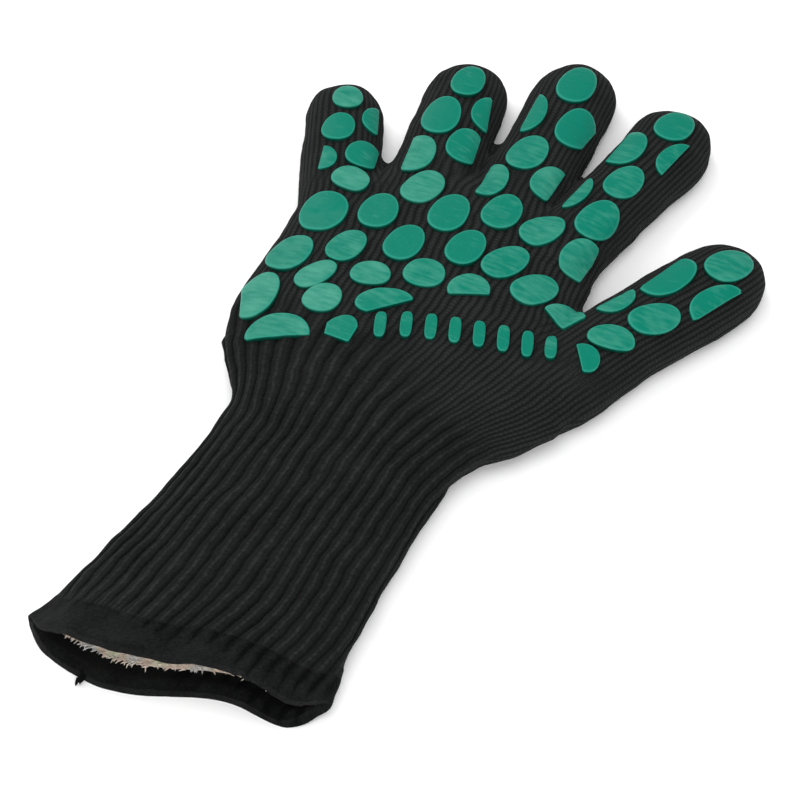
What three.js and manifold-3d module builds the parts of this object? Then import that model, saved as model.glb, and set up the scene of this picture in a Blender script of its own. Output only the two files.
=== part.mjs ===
// Heat resistant glove, extra long: knitted shell, fleece lining, bound mouth, silicone grip spots.
// Millimetres. +Y from the cuff to the fingertips, +X towards the thumb, +Z out of the palm.
import * as THREE from "three";
import { mergeVertices } from "three/addons/utils/BufferGeometryUtils.js";
import Module from "manifold-3d";

const wasm = await Module();
wasm.setup();

// Layers, measured inwards from the outer face of the knit.
const SHELL_THICKNESS = 2.0;
const LAYER_GAP = 0.4;
const LINING_THICKNESS = 1.4;
const SPOT_RISE = 1.3;
const SPOT_CLEARANCE = 0.3;

// Cross sections: a soft oblong whose underside is pressed flat on the table.
const ROUNDNESS = 2.4;
const CENTRE_HEIGHT = 0.42;
const UPPER_SHARE = 0.58;
const DIGIT_SIDES = 12;
const PALM_SIDES = 22;

// Splits between the moving segments.
const SPLIT_GAP = 0.6;
const SPLIT_TILT = THREE.MathUtils.degToRad(5);
const FAR = 400;

// Heights of the stuffed layers above the table.
const DIGIT_HEIGHT = 17;
const PALM_HEIGHT = 19;
const WEB_HEIGHT = 12;
const CUFF_HEIGHT = 18;

// Palm: [y, left edge, right edge, height], wrist to the webs between the fingers.
const PALM = [
  [-56, -44.8, 36.9, 18],
  [-44, -45.8, 37.6, PALM_HEIGHT],
  [-33, -52.4, 43.0, PALM_HEIGHT],
  [-22, -60.4, 52.6, PALM_HEIGHT],
  [-8, -65.6, 60.0, PALM_HEIGHT],
  [10, -68.4, 58.0, PALM_HEIGHT],
  [32, -70.2, 50.0, PALM_HEIGHT],
  [49, -72.4, 43.0, 18.5],
  [66, -73.5, 40.6, 18],
  [82, -56.0, 40.8, 16.5],
  [98, -51.0, 43.0, WEB_HEIGHT],
  [112, -46.0, 43.0, WEB_HEIGHT - 2],
];

// Cuff: [y, left edge, right edge, height], past the mouth to the wrist.
const CUFF = [
  [-190, -58.0, 50.0, 20],
  [-160, -54.6, 44.6, 19.6],
  [-142, -52.2, 42.6, 18.6],
  [-124, -49.8, 39.4, CUFF_HEIGHT],
  [-98, -46.2, 37.6, CUFF_HEIGHT],
  [-70, -44.8, 37.2, CUFF_HEIGHT],
  [-48, -44.9, 37.0, CUFF_HEIGHT],
];
const MOUTH = { x: -50, y: -166.5, slope: 0.125 };
const BINDING_LENGTH = 14;
const BINDING_SWELL = 0.6;

// Digits: lean from +Y towards +X; stations are [distance along, offset across, half width].
const DIGITS = {
  little: {
    lean: -25,
    stations: [[66, -29.6, 13.4], [101, -29.6, 14.2], [117, -30.2, 13.5]],
    nose: { length: 20, tip: 142.6, across: -29.4 },
  },
  ring: {
    lean: -12,
    stations: [[74, -17.2, 15.2], [98, -17.0, 16.2], [130, -16.4, 15.4]],
    nose: { length: 21, tip: 157.2, across: -17.0 },
  },
  middle: {
    lean: -6,
    stations: [[74, 7.0, 15.4], [104, 7.3, 16.4], [142, 7.2, 15.9]],
    nose: { length: 22, tip: 169.2, across: 6.4 },
  },
  index: {
    lean: 8,
    stations: [[62, 14.8, 14.6], [104, 14.8, 15.6], [141, 15.0, 15.7]],
    nose: { length: 21, tip: 163.2, across: 12.0 },
  },
  thumb: {
    lean: 25,
    stations: [[-6, 40.0, 14.0], [30, 38.8, 18.2], [62, 37.2, 18.3], [100, 37.0, 17.8]],
    nose: { length: 25, tip: 124.6, across: 32.0 },
  },
};
const NOSE_STEPS = [0, 0.4, 0.68, 0.88, 1];
const NOSE_ROUNDNESS = 2.3;
const NOSE_END = 0.22;

// Hinge lines: the digit's lean, the place along and the band across that moves with the hinge.
const HINGES = {
  cuff: { lean: 180, along: 50, across: [-80, 80], height: 19 },
  knuckles: { lean: 0, along: 84.6, across: [-90, 90], spares: ["little_base", "thumb_base"] },
  little_base: { lean: -25, along: 107, across: [-60, -13.5] },
  little_tip: { lean: -25, along: 125.5, across: [-60, -13.5] },
  ring_base: { lean: -12, along: 119, across: [-40, 1.2] },
  ring_tip: { lean: -12, along: 136, across: [-40, 1.2] },
  middle_base: { lean: -6, along: 120.5, across: [-10, 24.6] },
  middle_tip: { lean: -6, along: 142.8, across: [-10, 24.6] },
  index_base: { lean: 8, along: 124, across: [-3.4, 50] },
  index_tip: { lean: 8, along: 144, across: [-3.4, 50] },
  thumb_base: { lean: 25, along: 64.5, across: [17.8, 80] },
  thumb_tip: { lean: 25, along: 85.5, across: [17.8, 80] },
};
const HINGE_HEIGHT = 17.6;

// Each moving body: the hinge it turns on and the hinges of what it carries.
const BODIES = {
  hand: { hinge: null, carries: ["cuff", "knuckles", "little_base", "thumb_base"] },
  cuff: { hinge: "cuff", carries: [] },
  knuckles: { hinge: "knuckles", carries: ["ring_base", "middle_base", "index_base"] },
  little_base: { hinge: "little_base", carries: ["little_tip"] },
  little_tip: { hinge: "little_tip", carries: [] },
  ring_base: { hinge: "ring_base", carries: ["ring_tip"] },
  ring_tip: { hinge: "ring_tip", carries: [] },
  middle_base: { hinge: "middle_base", carries: ["middle_tip"] },
  middle_tip: { hinge: "middle_tip", carries: [] },
  index_base: { hinge: "index_base", carries: ["index_tip"] },
  index_tip: { hinge: "index_tip", carries: [] },
  thumb_base: { hinge: "thumb_base", carries: ["thumb_tip"] },
  thumb_tip: { hinge: "thumb_tip", carries: [] },
};

// Grip spots: [x, y, width, length, lean], each with an optional straight trim [angle, offset].
const SPOTS = {
  spot_heel_1: { place: [-59, -4, 13.5, 25, 0], trim: [216, 7.1] },
  spot_heel_2: { place: [-42.3, -17.7, 22, 22, 0], trim: [-58, 2.9] },
  spot_heel_3: { place: [-24.8, -6.2, 12, 14, 0], trim: [-95, 5.2] },
  spot_palm_1: { place: [-58.3, 45.3, 17.5, 21.5, 14] },
  spot_palm_2: { place: [-40.6, 53.8, 14, 20.2, 8] },
  spot_palm_3: { place: [-17.5, 64.6, 14.4, 21.4, 6] },
  spot_palm_4: { place: [-0.8, 74.3, 14, 19.2, 2] },
  spot_palm_5: { place: [16, 71, 13.6, 18.5, -16] },
  spot_palm_6: { place: [-4, 51, 13.4, 19.4, 3] },
  spot_palm_7: { place: [12, 50.3, 13, 20, -14] },
  spot_palm_8: { place: [26.9, 43, 14.4, 18.4, -18] },
  spot_palm_9: { place: [-24.8, 43, 13.8, 19.4, 2] },
  spot_palm_10: { place: [-42.6, 32.5, 12.6, 17.6, -10] },
  spot_palm_11: { place: [-11.3, 32, 14.6, 15.4, 8] },
  spot_palm_12: { place: [5.7, 32.8, 14.8, 15, 0], trim: [-63, 3.1] },
  spot_palm_13: { place: [-58.8, 20.3, 13.8, 19.8, -4] },
  spot_palm_14: { place: [-45.6, 14.2, 10, 16.6, -22] },
  spot_palm_15: { place: [-36.4, 3.4, 13.6, 14.4, 0] },
  spot_palm_16: { place: [-28.8, 24, 14, 12.2, 0] },
  spot_palm_17: { place: [-18.2, 12.4, 16.6, 13.8, 0], trim: [-46, 3.3] },
  spot_little: { place: [-81.5, 107, 11.5, 12.5, 25] },
  spot_ring: { place: [-44, 137.5, 13, 16.5, 12] },
  spot_middle: { place: [-7.5, 153, 14, 19, 6] },
  spot_index: { place: [34.5, 149.5, 13.5, 16, -8] },
  spot_thumb: { place: [83, 88, 15.5, 16, -25] },
};
const SPOT_SIDES = 14;
const EGG = 0.12;
const COLUMN_FOOT = 8;
const COLUMN_TOP = 40;

// Raised bars in a rising row across the palm: [x, y], each leaning the same way.
const BARS = [[-12, 0], [-4, 4], [4, 7], [12, 9.5], [20, 12], [28, 14.5], [36, 17], [44, 20]];
const BAR_WIDTH = 3.2;
const BAR_LENGTH = 11;
const BAR_LEAN = 22;
const BAR_SIDES = 8;

const KNIT = { color: 0x232424, roughness: 0.95 };
const BOUND = { color: 0x1b1b1c, roughness: 0.9 };
const FLEECE = { color: 0xcfc6b4, roughness: 1.0 };
const SILICONE = { color: 0x0a9a7a, roughness: 0.45 };

/** Turns a three.js geometry into a solid. */
function solidOf(geometry) {
  geometry.deleteAttribute("normal");
  geometry.deleteAttribute("uv");
  const merged = mergeVertices(geometry, 1e-4);
  return new wasm.Manifold(new wasm.Mesh({
    numProp: 3,
    vertProperties: new Float32Array(merged.attributes.position.array),
    triVerts: new Uint32Array(merged.index.array),
  }));
}

/** Turns a solid into a named mesh with its own material. */
function meshOf(solid, name, look) {
  const data = solid.getMesh();
  const geometry = new THREE.BufferGeometry();
  geometry.setAttribute("position", new THREE.BufferAttribute(data.vertProperties, 3));
  geometry.setIndex(new THREE.BufferAttribute(data.triVerts, 1));
  geometry.computeVertexNormals();
  const mesh = new THREE.Mesh(geometry, new THREE.MeshStandardMaterial(look));
  mesh.name = name;
  return mesh;
}

/** Keeps the sign of a value while raising its size to a power. */
function signedPower(value, power) {
  return Math.sign(value) * Math.abs(value) ** power;
}

/** Unit vectors along and across a direction leaning from +Y towards +X. */
function directions(lean) {
  const angle = THREE.MathUtils.degToRad(lean);
  return {
    along: new THREE.Vector3(Math.sin(angle), Math.cos(angle), 0),
    across: new THREE.Vector3(Math.cos(angle), -Math.sin(angle), 0),
  };
}

/** A closed tube through sections {at, half, height}, drawn in by an inset. */
function loft(sections, lean, sides, inset) {
  const steps = sections.length - 1;
  const geometry = new THREE.CylinderGeometry(1, 1, 1, sides, steps);
  const position = geometry.attributes.position;
  const { across } = directions(lean);
  const point = new THREE.Vector3();
  for (let i = 0; i < position.count; i += 1) {
    const section = sections[Math.round((position.getY(i) + 0.5) * steps)];
    const wide = signedPower(position.getX(i), 2 / ROUNDNESS);
    const high = signedPower(position.getZ(i), 2 / ROUNDNESS);
    const half = Math.max(section.half - inset, 0.4);
    const rise = Math.max(section.height * UPPER_SHARE * section.swell - inset, 0.4);
    point.copy(section.at).addScaledVector(across, wide * half);
    point.z = section.height * CENTRE_HEIGHT + high * rise;
    position.setXYZ(i, point.x, point.y, point.z);
  }
  return solidOf(geometry);
}

/** Sections of the palm or the cuff from rows of edges. */
function edgeSections(rows) {
  return rows.map(([y, left, right, height]) => ({
    at: new THREE.Vector3((left + right) / 2, y, 0),
    half: (right - left) / 2,
    height,
    swell: 1,
  }));
}

/** Sections of one digit, ending in a rounded nose drawn back by the inset. */
function digitSections(digit, inset) {
  const { along, across } = directions(digit.lean);
  const place = (s, t) => new THREE.Vector3().addScaledVector(along, s).addScaledVector(across, t);
  const height = DIGIT_HEIGHT;
  const sections = digit.stations.map(([s, t, half]) => ({ at: place(s, t), half, height, swell: 1 }));
  const [, lastAcross, lastHalf] = digit.stations.at(-1);
  const start = digit.nose.tip - digit.nose.length;
  const reach = digit.nose.length - inset;
  for (const step of NOSE_STEPS) {
    const round = Math.max((1 - step ** NOSE_ROUNDNESS) ** (1 / NOSE_ROUNDNESS), NOSE_END);
    const t = THREE.MathUtils.lerp(lastAcross, digit.nose.across, step);
    sections.push({ at: place(start + reach * step, t), half: lastHalf * round, height, swell: round });
  }
  return sections;
}

/** The band of a hinge from a place along it outwards, its near face tilted about the hinge. */
function band(hinge, start, tiltAngle) {
  const { along, across } = directions(hinge.lean);
  const width = hinge.across[1] - hinge.across[0];
  const middle = (hinge.across[0] + hinge.across[1]) / 2;
  const centre = new THREE.Vector3().addScaledVector(along, start).addScaledVector(across, middle);
  centre.z = hinge.height ?? HINGE_HEIGHT;
  const turn = new THREE.Matrix4().makeBasis(across, along, new THREE.Vector3(0, 0, 1));
  const tilt = new THREE.Matrix4().makeRotationX(tiltAngle);
  const geometry = new THREE.BoxGeometry(width, FAR, FAR);
  geometry.translate(0, FAR / 2, 0);
  geometry.applyMatrix4(new THREE.Matrix4().makeTranslation(centre).multiply(turn).multiply(tilt));
  return solidOf(geometry);
}

/** Everything beyond a hinge, drawn back by half the gap and tilted to let the hinge work. */
function beyond(hinge, side) {
  let space = band(hinge, hinge.along + side * SPLIT_GAP / 2, side * SPLIT_TILT);
  for (const name of hinge.spares ?? []) {
    space = space.subtract(band(HINGES[name], -FAR / 4, 0));
  }
  return space;
}

/** The part of a layer that belongs to one body. */
function share(layer, body) {
  let piece = body.hinge ? layer.intersect(beyond(HINGES[body.hinge], 1)) : layer;
  for (const name of body.carries) {
    piece = piece.subtract(beyond(HINGES[name], -1));
  }
  return piece;
}

/** Everything outside the mouth of the cuff, moved inwards by a distance. */
function outsideMouth(inwards) {
  const angle = Math.atan(MOUTH.slope);
  const geometry = new THREE.BoxGeometry(FAR, FAR, FAR);
  geometry.translate(0, -FAR / 2 + inwards, 0);
  geometry.rotateZ(angle);
  geometry.translate(MOUTH.x, MOUTH.y, 0);
  return solidOf(geometry);
}

/** The whole glove as one filled shape, drawn in by an inset and standing on the table. */
function filled(inset) {
  let shape = loft(edgeSections(PALM), 0, PALM_SIDES, inset)
    .add(loft(edgeSections(CUFF), 0, PALM_SIDES, inset));
  for (const digit of Object.values(DIGITS)) {
    shape = shape.add(loft(digitSections(digit, inset), digit.lean, DIGIT_SIDES, inset));
  }
  const under = new THREE.BoxGeometry(FAR * 2, FAR * 2, FAR);
  under.translate(0, 0, Math.max(inset, 0) - FAR / 2);
  return shape.subtract(solidOf(under));
}

/** An upright column, from inside the glove up, with an egg-shaped or round-ended outline. */
function column(place, sides, egg) {
  const [x, y, width, length, lean] = place;
  const geometry = new THREE.CylinderGeometry(1, 1, COLUMN_TOP - COLUMN_FOOT, sides);
  geometry.rotateX(Math.PI / 2);
  const position = geometry.attributes.position;
  for (let i = 0; i < position.count; i += 1) {
    const up = position.getY(i);
    const wide = position.getX(i) * (1 - egg * up);
    position.setXYZ(i, wide * width / 2, up * length / 2, position.getZ(i));
  }
  geometry.rotateZ(THREE.MathUtils.degToRad(lean));
  geometry.translate(x, y, (COLUMN_TOP + COLUMN_FOOT) / 2);
  return solidOf(geometry);
}

/** A column cut off along a straight line at an angle and offset from its centre. */
function trimmed(solid, place, trim) {
  if (!trim) {
    return solid;
  }
  const [angle, offset] = trim;
  const geometry = new THREE.BoxGeometry(FAR, FAR, FAR);
  geometry.translate(FAR / 2 + offset, 0, 0);
  geometry.rotateZ(THREE.MathUtils.degToRad(angle));
  geometry.translate(place[0], place[1], 0);
  return solid.subtract(solidOf(geometry));
}

const outer = filled(0);
const shellInner = filled(SHELL_THICKNESS);
const liningOuter = filled(SHELL_THICKNESS + LAYER_GAP);
const liningInner = filled(SHELL_THICKNESS + LAYER_GAP + LINING_THICKNESS);
const spotFoot = filled(-SPOT_CLEARANCE);
const spotTop = filled(-SPOT_CLEARANCE - SPOT_RISE);

const knitWhole = outer.subtract(shellInner);
const knit = knitWhole.subtract(outsideMouth(BINDING_LENGTH));
const lining = liningOuter.subtract(liningInner).subtract(outsideMouth(0.6));
const bindingWall = filled(-BINDING_SWELL).subtract(shellInner);
const bindingBand = outsideMouth(BINDING_LENGTH - LAYER_GAP).subtract(outsideMouth(0));
const skin = spotTop.subtract(spotFoot);

const glove = new THREE.Group();
glove.name = "heat_resistant_glove";
for (const [name, body] of Object.entries(BODIES)) {
  glove.add(meshOf(share(knit, body), `${name}_shell`, KNIT));
  glove.add(meshOf(share(lining, body), `${name}_lining`, FLEECE));
}
glove.add(meshOf(bindingWall.intersect(bindingBand), "cuff_binding", BOUND));
for (const [name, { place, trim }] of Object.entries(SPOTS)) {
  const spot = trimmed(column(place, SPOT_SIDES, EGG), place, trim);
  glove.add(meshOf(spot.intersect(skin), name, SILICONE));
}
BARS.forEach(([x, y], index) => {
  const bar = column([x, y, BAR_WIDTH, BAR_LENGTH, BAR_LEAN], BAR_SIDES, 0);
  glove.add(meshOf(bar.intersect(skin), `bar_${index + 1}`, SILICONE));
});

// The origin sits under the middle of the glove, on the table.
const bounds = new THREE.Box3().setFromObject(glove);
const middle = bounds.getCenter(new THREE.Vector3());
for (const mesh of glove.children) {
  mesh.geometry.translate(-middle.x, -middle.y, -bounds.min.z);
}

export default glove;
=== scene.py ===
import logging
import math
from dataclasses import dataclass, field
from enum import Enum

import bpy
import numpy as np
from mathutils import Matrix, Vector
from mathutils.bvhtree import BVHTree
from mathutils.kdtree import KDTree


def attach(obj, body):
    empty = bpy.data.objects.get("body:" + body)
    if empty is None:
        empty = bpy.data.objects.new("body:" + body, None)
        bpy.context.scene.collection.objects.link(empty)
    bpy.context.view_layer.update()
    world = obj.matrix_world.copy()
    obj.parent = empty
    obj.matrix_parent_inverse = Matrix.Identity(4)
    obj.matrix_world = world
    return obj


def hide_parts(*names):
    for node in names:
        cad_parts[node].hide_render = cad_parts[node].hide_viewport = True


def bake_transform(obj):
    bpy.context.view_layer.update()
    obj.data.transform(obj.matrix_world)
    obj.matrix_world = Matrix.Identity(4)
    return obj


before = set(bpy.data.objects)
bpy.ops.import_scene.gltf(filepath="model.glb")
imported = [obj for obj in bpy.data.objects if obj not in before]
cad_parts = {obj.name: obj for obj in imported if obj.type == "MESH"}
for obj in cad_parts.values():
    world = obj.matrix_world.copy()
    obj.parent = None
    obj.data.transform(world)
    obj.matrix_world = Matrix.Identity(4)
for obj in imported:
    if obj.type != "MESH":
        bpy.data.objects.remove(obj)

LOG = logging.getLogger("glove")
MM = 0.001
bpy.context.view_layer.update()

# Where the row's origin lies in the drawing that the tables below are made in, in millimetres.
DRAWING_X = -0.43
DRAWING_Y = 1.06


# ---------------------------------------------------------------- sizes


@dataclass(frozen=True)
class Row:
    """One row across the palm or the cuff: its place and its two edges, in millimetres."""

    y: float
    left: float
    right: float
    height: float

    @property
    def middle(self) -> float:
        """The middle of the row across the glove."""
        return (self.left + self.right) / 2

    @property
    def half(self) -> float:
        """Half the width of the row."""
        return (self.right - self.left) / 2


@dataclass(frozen=True)
class Digit:
    """One finger or the thumb, in its own along and across directions, in millimetres."""

    name: str
    lean: float
    stations: tuple[tuple[float, float, float], ...]
    nose: float
    tip: float
    tip_across: float
    weave_from: float
    weave_to: float

    def directions(self) -> tuple[np.ndarray, np.ndarray]:
        """Unit vectors along and across the digit.

        Returns:
            The two vectors.
        """
        angle = math.radians(self.lean)
        along = np.array([math.sin(angle), math.cos(angle)])
        across = np.array([math.cos(angle), -math.sin(angle)])
        return along, across

    def place(self, along: float, across: float) -> Vector:
        """A point of the digit on the drawing.

        Args:
            along: Distance along the digit.
            across: Distance across it.

        Returns:
            The point, in millimetres.
        """
        u, v = self.directions()
        point = u * along + v * across
        return Vector((point[0], point[1], 0.0))

    def own(self, x: np.ndarray, y: np.ndarray) -> tuple[np.ndarray, np.ndarray]:
        """Turns drawing points into distances along and across the digit."""
        u, v = self.directions()
        return x * u[0] + y * u[1], x * v[0] + y * v[1]

    def middle_at(self, along: np.ndarray) -> np.ndarray:
        """The middle line's place across, at distances along."""
        places = [s for s, _, _ in self.stations] + [self.tip]
        across = [t for _, t, _ in self.stations] + [self.tip_across]
        return np.interp(along, places, across)

    def half_at(self, along: np.ndarray) -> np.ndarray:
        """Half the width at distances along."""
        places = [s for s, _, _ in self.stations]
        return np.interp(along, places, [h for _, _, h in self.stations])


@dataclass(frozen=True)
class Bend:
    """Where the knit bends between two bodies: a stretch along a direction, in millimetres."""

    parent: str
    child: str
    lean: float
    start: float
    end: float
    edge: float
    across: tuple[float, float]

    def own(self, x: float, y: float) -> tuple[float, float]:
        """Distances of a drawing point along and across the bend."""
        angle = math.radians(self.lean)
        along = x * math.sin(angle) + y * math.cos(angle)
        return along, x * math.cos(angle) - y * math.sin(angle)

    def ends(self) -> tuple[Vector, Vector]:
        """The two ends of the bend as points of the row, in metres."""
        angle = math.radians(self.lean)
        direction = Vector((math.sin(angle), math.cos(angle), 0.0))
        return to_row(direction * self.start), to_row(direction * self.end)


# How finely a pad's middle and its outline are searched for.
SCAN_SHARE = 0.6
SCAN_STEPS = 61
HALVINGS = 24


@dataclass(frozen=True)
class Spot:
    """One silicone pad: an egg shape with straight cuts, and the node it stands for.

    x, y, width and length are in millimetres. lean turns the egg anticlockwise, in degrees. A cut
    takes off what lies further than an offset from the middle in a direction. The value after
    lean is how much painted sheen lightens the pad's top. power squares the sides, and egg narrows
    one end.
    """

    name: str
    x: float
    y: float
    width: float
    length: float
    lean: float = 0.0
    # How much painted sheen lightens the pad's top.
    worn: float = 0.3
    cuts: tuple[tuple[float, float], ...] = ()
    node: str = ""
    power: float = 2.15
    egg: float = 0.1

    def holds(self, x: np.ndarray, y: np.ndarray) -> np.ndarray:
        """Tells which drawing points lie in the pad.

        Args:
            x: Places across, in millimetres.
            y: Places along, in millimetres.

        Returns:
            True or false for each point.
        """
        angle = math.radians(self.lean)
        dx, dy = x - self.x, y - self.y
        along = -dx * math.sin(angle) + dy * math.cos(angle)
        along = along / (self.length / 2)
        narrowed = self.width / 2 * (1 - self.egg * np.clip(along, -1, 1))
        across = (dx * math.cos(angle) + dy * math.sin(angle)) / narrowed
        inside = np.abs(across) ** self.power + np.abs(along) ** self.power <= 1
        for direction, offset in self.cuts:
            turned = math.radians(direction)
            inside &= dx * math.cos(turned) + dy * math.sin(turned) <= offset
        return inside

    def middle(self) -> tuple[float, float]:
        """The middle of what the cuts leave.

        Returns:
            Its place across and along, in millimetres.
        """
        reach = max(self.width, self.length) * SCAN_SHARE
        steps = np.linspace(-reach, reach, SCAN_STEPS)
        x, y = np.meshgrid(self.x + steps, self.y + steps)
        inside = self.holds(x, y)
        return float(x[inside].mean()), float(y[inside].mean())

    def reach(self, angles: np.ndarray) -> np.ndarray:
        """How far the outline lies from the middle at each angle, in millimetres.

        Args:
            angles: The angles, in radians from +X.

        Returns:
            One distance for each angle.
        """
        x, y = self.middle()
        near, far = np.zeros(len(angles)), np.full(len(angles), max(self.width, self.length))
        for _ in range(HALVINGS):
            tried = (near + far) / 2
            inside = self.holds(x + np.cos(angles) * tried, y + np.sin(angles) * tried)
            near, far = np.where(inside, tried, near), np.where(inside, far, tried)
        return near


PALM_ROWS = (
    Row(-56, -45.2, 37.4, 18), Row(-46, -45.8, 37.6, 19), Row(-38, -50.5, 39.6, 19),
    Row(-31, -56.6, 43.6, 19), Row(-22, -63.4, 52.2, 19), Row(-8, -68.0, 60.8, 19),
    Row(10, -70.2, 58.2, 19), Row(32, -71.2, 49.6, 19), Row(49, -73.2, 42.2, 18.5),
    Row(66, -74.0, 40.0, 18), Row(80, -58.0, 40.4, 16.5), Row(96, -52.0, 43.6, 12),
    Row(108, -46.0, 43.6, 10),
)
CUFF_ROWS = (
    Row(-186, -60.2, 45.8, 21), Row(-170, -58.8, 44.8, 20.4), Row(-158, -57.0, 44.4, 19.4),
    Row(-142, -53.4, 43.6, 18), Row(-124, -50.4, 41.1, 18), Row(-98, -47.0, 38.9, 18),
    Row(-70, -45.4, 37.8, 18), Row(-48, -45.6, 37.8, 18),
)
RIB_ROWS = (
    Row(-175, -56, 46, 0), Row(-142, -52.2, 42.6, 0), Row(-124, -49.8, 39.4, 0),
    Row(-98, -46.2, 37.6, 0), Row(-70, -44.8, 37.2, 0), Row(-48, -45, 37.2, 0),
    Row(-36, -50, 41, 0), Row(-22, -60, 52.6, 0), Row(-8, -65.6, 61, 0),
    Row(10, -68.4, 68, 0), Row(32, -70.2, 70, 0), Row(60, -76, 66, 0), Row(100, -92, 66, 0),
    Row(170, -120, 80, 0),
)
DIGITS = (
    Digit("little", -25, ((66, -29.8, 14.5), (101, -29.5, 15.4), (117, -29.5, 15.0)),
          21, 143.6, -29.4, 74, 94),
    Digit("ring", -12, ((74, -17.2, 15.4), (98, -17.0, 16.5), (130, -16.1, 16.0)),
          22, 157.4, -15.0, 84, 106),
    Digit("middle", -6, ((74, 7.0, 15.2), (104, 7.2, 16.6), (124, 7.7, 16.3), (142, 7.8, 16.4)),
          23, 169.6, 7.8, 84, 106),
    Digit("index", 8, ((62, 14.2, 13.8), (104, 13.9, 15.1), (122, 14.7, 15.4), (141, 15.3, 16.7)),
          21, 163.8, 13.4, 70, 96),
    Digit("thumb", 25, ((-6, 39.6, 11.6), (30, 39.6, 18.0), (62, 37.2, 17.1), (100, 37.2, 17.8)),
          26, 128.0, 35.6, 16, 52),
)
DIGIT_HEIGHT = 17.4

BENDS = {
    "cuff": Bend("hand", "cuff", 180, 40, 62, 38, (-90, 90)),
    "knuckles": Bend("hand", "knuckles", 0, 83.5, 94, 82, (-90, 90)),
    "little_base": Bend("hand", "little_base", -25, 100, 114, 98.6, (-60, -13.2)),
    "little_tip": Bend("little_base", "little_tip", -25, 120, 131, 117.5, (-60, -13.2)),
    "ring_base": Bend("knuckles", "ring_base", -12, 119, 128, 117.6, (-40, 1.2)),
    "ring_tip": Bend("ring_base", "ring_tip", -12, 131, 141.5, 129.5, (-40, 1.2)),
    "middle_base": Bend("knuckles", "middle_base", -6, 118.5, 130, 117.2, (-10.4, 25)),
    "middle_tip": Bend("middle_base", "middle_tip", -6, 137, 149, 133.5, (-10.4, 25)),
    "index_base": Bend("knuckles", "index_base", 8, 118, 131, 116.5, (-3.6, 50)),
    "index_tip": Bend("index_base", "index_tip", 8, 138, 150, 134.5, (-3.6, 50)),
    "thumb_base": Bend("hand", "thumb_base", 25, 62.5, 72, 61.5, (17.8, 80)),
    "thumb_tip": Bend("thumb_base", "thumb_tip", 25, 79.5, 92, 75.8, (17.8, 80)),
}
DIGIT_BENDS = tuple(name for name in BENDS if name not in ("cuff", "knuckles"))

MOUTH_X = -50.0
MOUTH_Y = -166.0
MOUTH_SLOPE = 0.125
BINDING_LENGTH = 14.0
LOWER_LIP = (
    (-62, -152), (-59, -156.5), (-56, -159.8), (-52, -162.4), (-48, -164.2), (-40, -166.2),
    (-27, -167.8), (-15, -165.4), (-5, -161.0), (5, -156.2), (15, -153.8), (30, -155.6),
    (37, -154.4), (41, -149), (45, -141),
)
UPPER_LIP = (
    (-62, -152), (-59, -156.0), (-54, -160.4), (-45, -163.6), (-33, -165.2), (-21, -164.2),
    (-11, -162.0), (4, -156.4), (14, -154.4), (25, -154.0), (33, -154.6), (38, -152.0),
    (42, -146.6), (45, -141),
)


def to_row(point: Vector) -> Vector:
    """A drawing point in millimetres as a point of the row in metres."""
    return Vector(((point.x - DRAWING_X) * MM, (point.y - DRAWING_Y) * MM, point.z * MM))


def drawing(points: np.ndarray) -> np.ndarray:
    """Points of the row in metres as drawing points in millimetres."""
    return points / MM + np.array([DRAWING_X, DRAWING_Y, 0.0])


def ramp(value: np.ndarray, low: float, high: float) -> np.ndarray:
    """A smooth rise from 0 at low to 1 at high."""
    t = np.clip((value - low) / (high - low), 0.0, 1.0)
    return t * t * (3 - 2 * t)


EASING_STEPS = 7


def eased(values: np.ndarray, table: tuple[tuple[float, float], ...], reach: float) -> np.ndarray:
    """Reads a table of pairs in soft curves.

    Args:
        values: Where to read it.
        table: Pairs in rising order.
        reach: How far on each side the reading is averaged.

    Returns:
        One reading for each value.
    """
    places, heights = zip(*table)
    shifts = np.linspace(-reach, reach, EASING_STEPS)
    return sum(np.interp(values + shift, places, heights) for shift in shifts) / len(shifts)


def body_at(x: float, y: float) -> str:
    """The body whose stretch of knit holds a drawing point.

    Args:
        x: Its place across, in millimetres.
        y: Its place along, in millimetres.

    Returns:
        The body's name.
    """
    for name in reversed(DIGIT_BENDS):
        bend = BENDS[name]
        along, across = bend.own(x, y)
        if along > bend.edge and bend.across[0] < across < bend.across[1]:
            return name
    if y < -BENDS["cuff"].edge:
        return "cuff"
    spared = (BENDS["little_base"], BENDS["thumb_base"])
    beside = any(b.across[0] < b.own(x, y)[1] < b.across[1] for b in spared)
    return "knuckles" if y > BENDS["knuckles"].edge and not beside else "hand"


def mouth_distance(points: np.ndarray) -> np.ndarray:
    """How far drawing points lie inside the slanted mouth of the cuff."""
    angle = math.atan(MOUTH_SLOPE)
    dx, dy = points[:, 0] - MOUTH_X, points[:, 1] - MOUTH_Y
    return dy * math.cos(angle) - dx * math.sin(angle)


# ---------------------------------------------------------------- making


def deselect() -> None:
    """Deselects every object, as the frame leaves its nodes selected."""
    bpy.ops.object.select_all(action="DESELECT")


def activate(piece: bpy.types.Object) -> None:
    """Makes one object the only selected and active one."""
    deselect()
    piece.select_set(True)
    bpy.context.view_layer.objects.active = piece


def finish_modifier(piece: bpy.types.Object, modifier: bpy.types.Modifier) -> None:
    """Applies one modifier of a piece."""
    activate(piece)
    bpy.ops.object.modifier_apply(modifier=modifier.name)


def coordinates(mesh: bpy.types.Mesh) -> np.ndarray:
    """The vertices of a mesh as an array of rows."""
    flat = np.empty(len(mesh.vertices) * 3)
    mesh.vertices.foreach_get("co", flat)
    return flat.reshape(-1, 3)


def normals(mesh: bpy.types.Mesh) -> np.ndarray:
    """The vertex normals of a mesh as an array of rows."""
    flat = np.empty(len(mesh.vertices) * 3)
    mesh.vertices.foreach_get("normal", flat)
    return flat.reshape(-1, 3)


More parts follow.
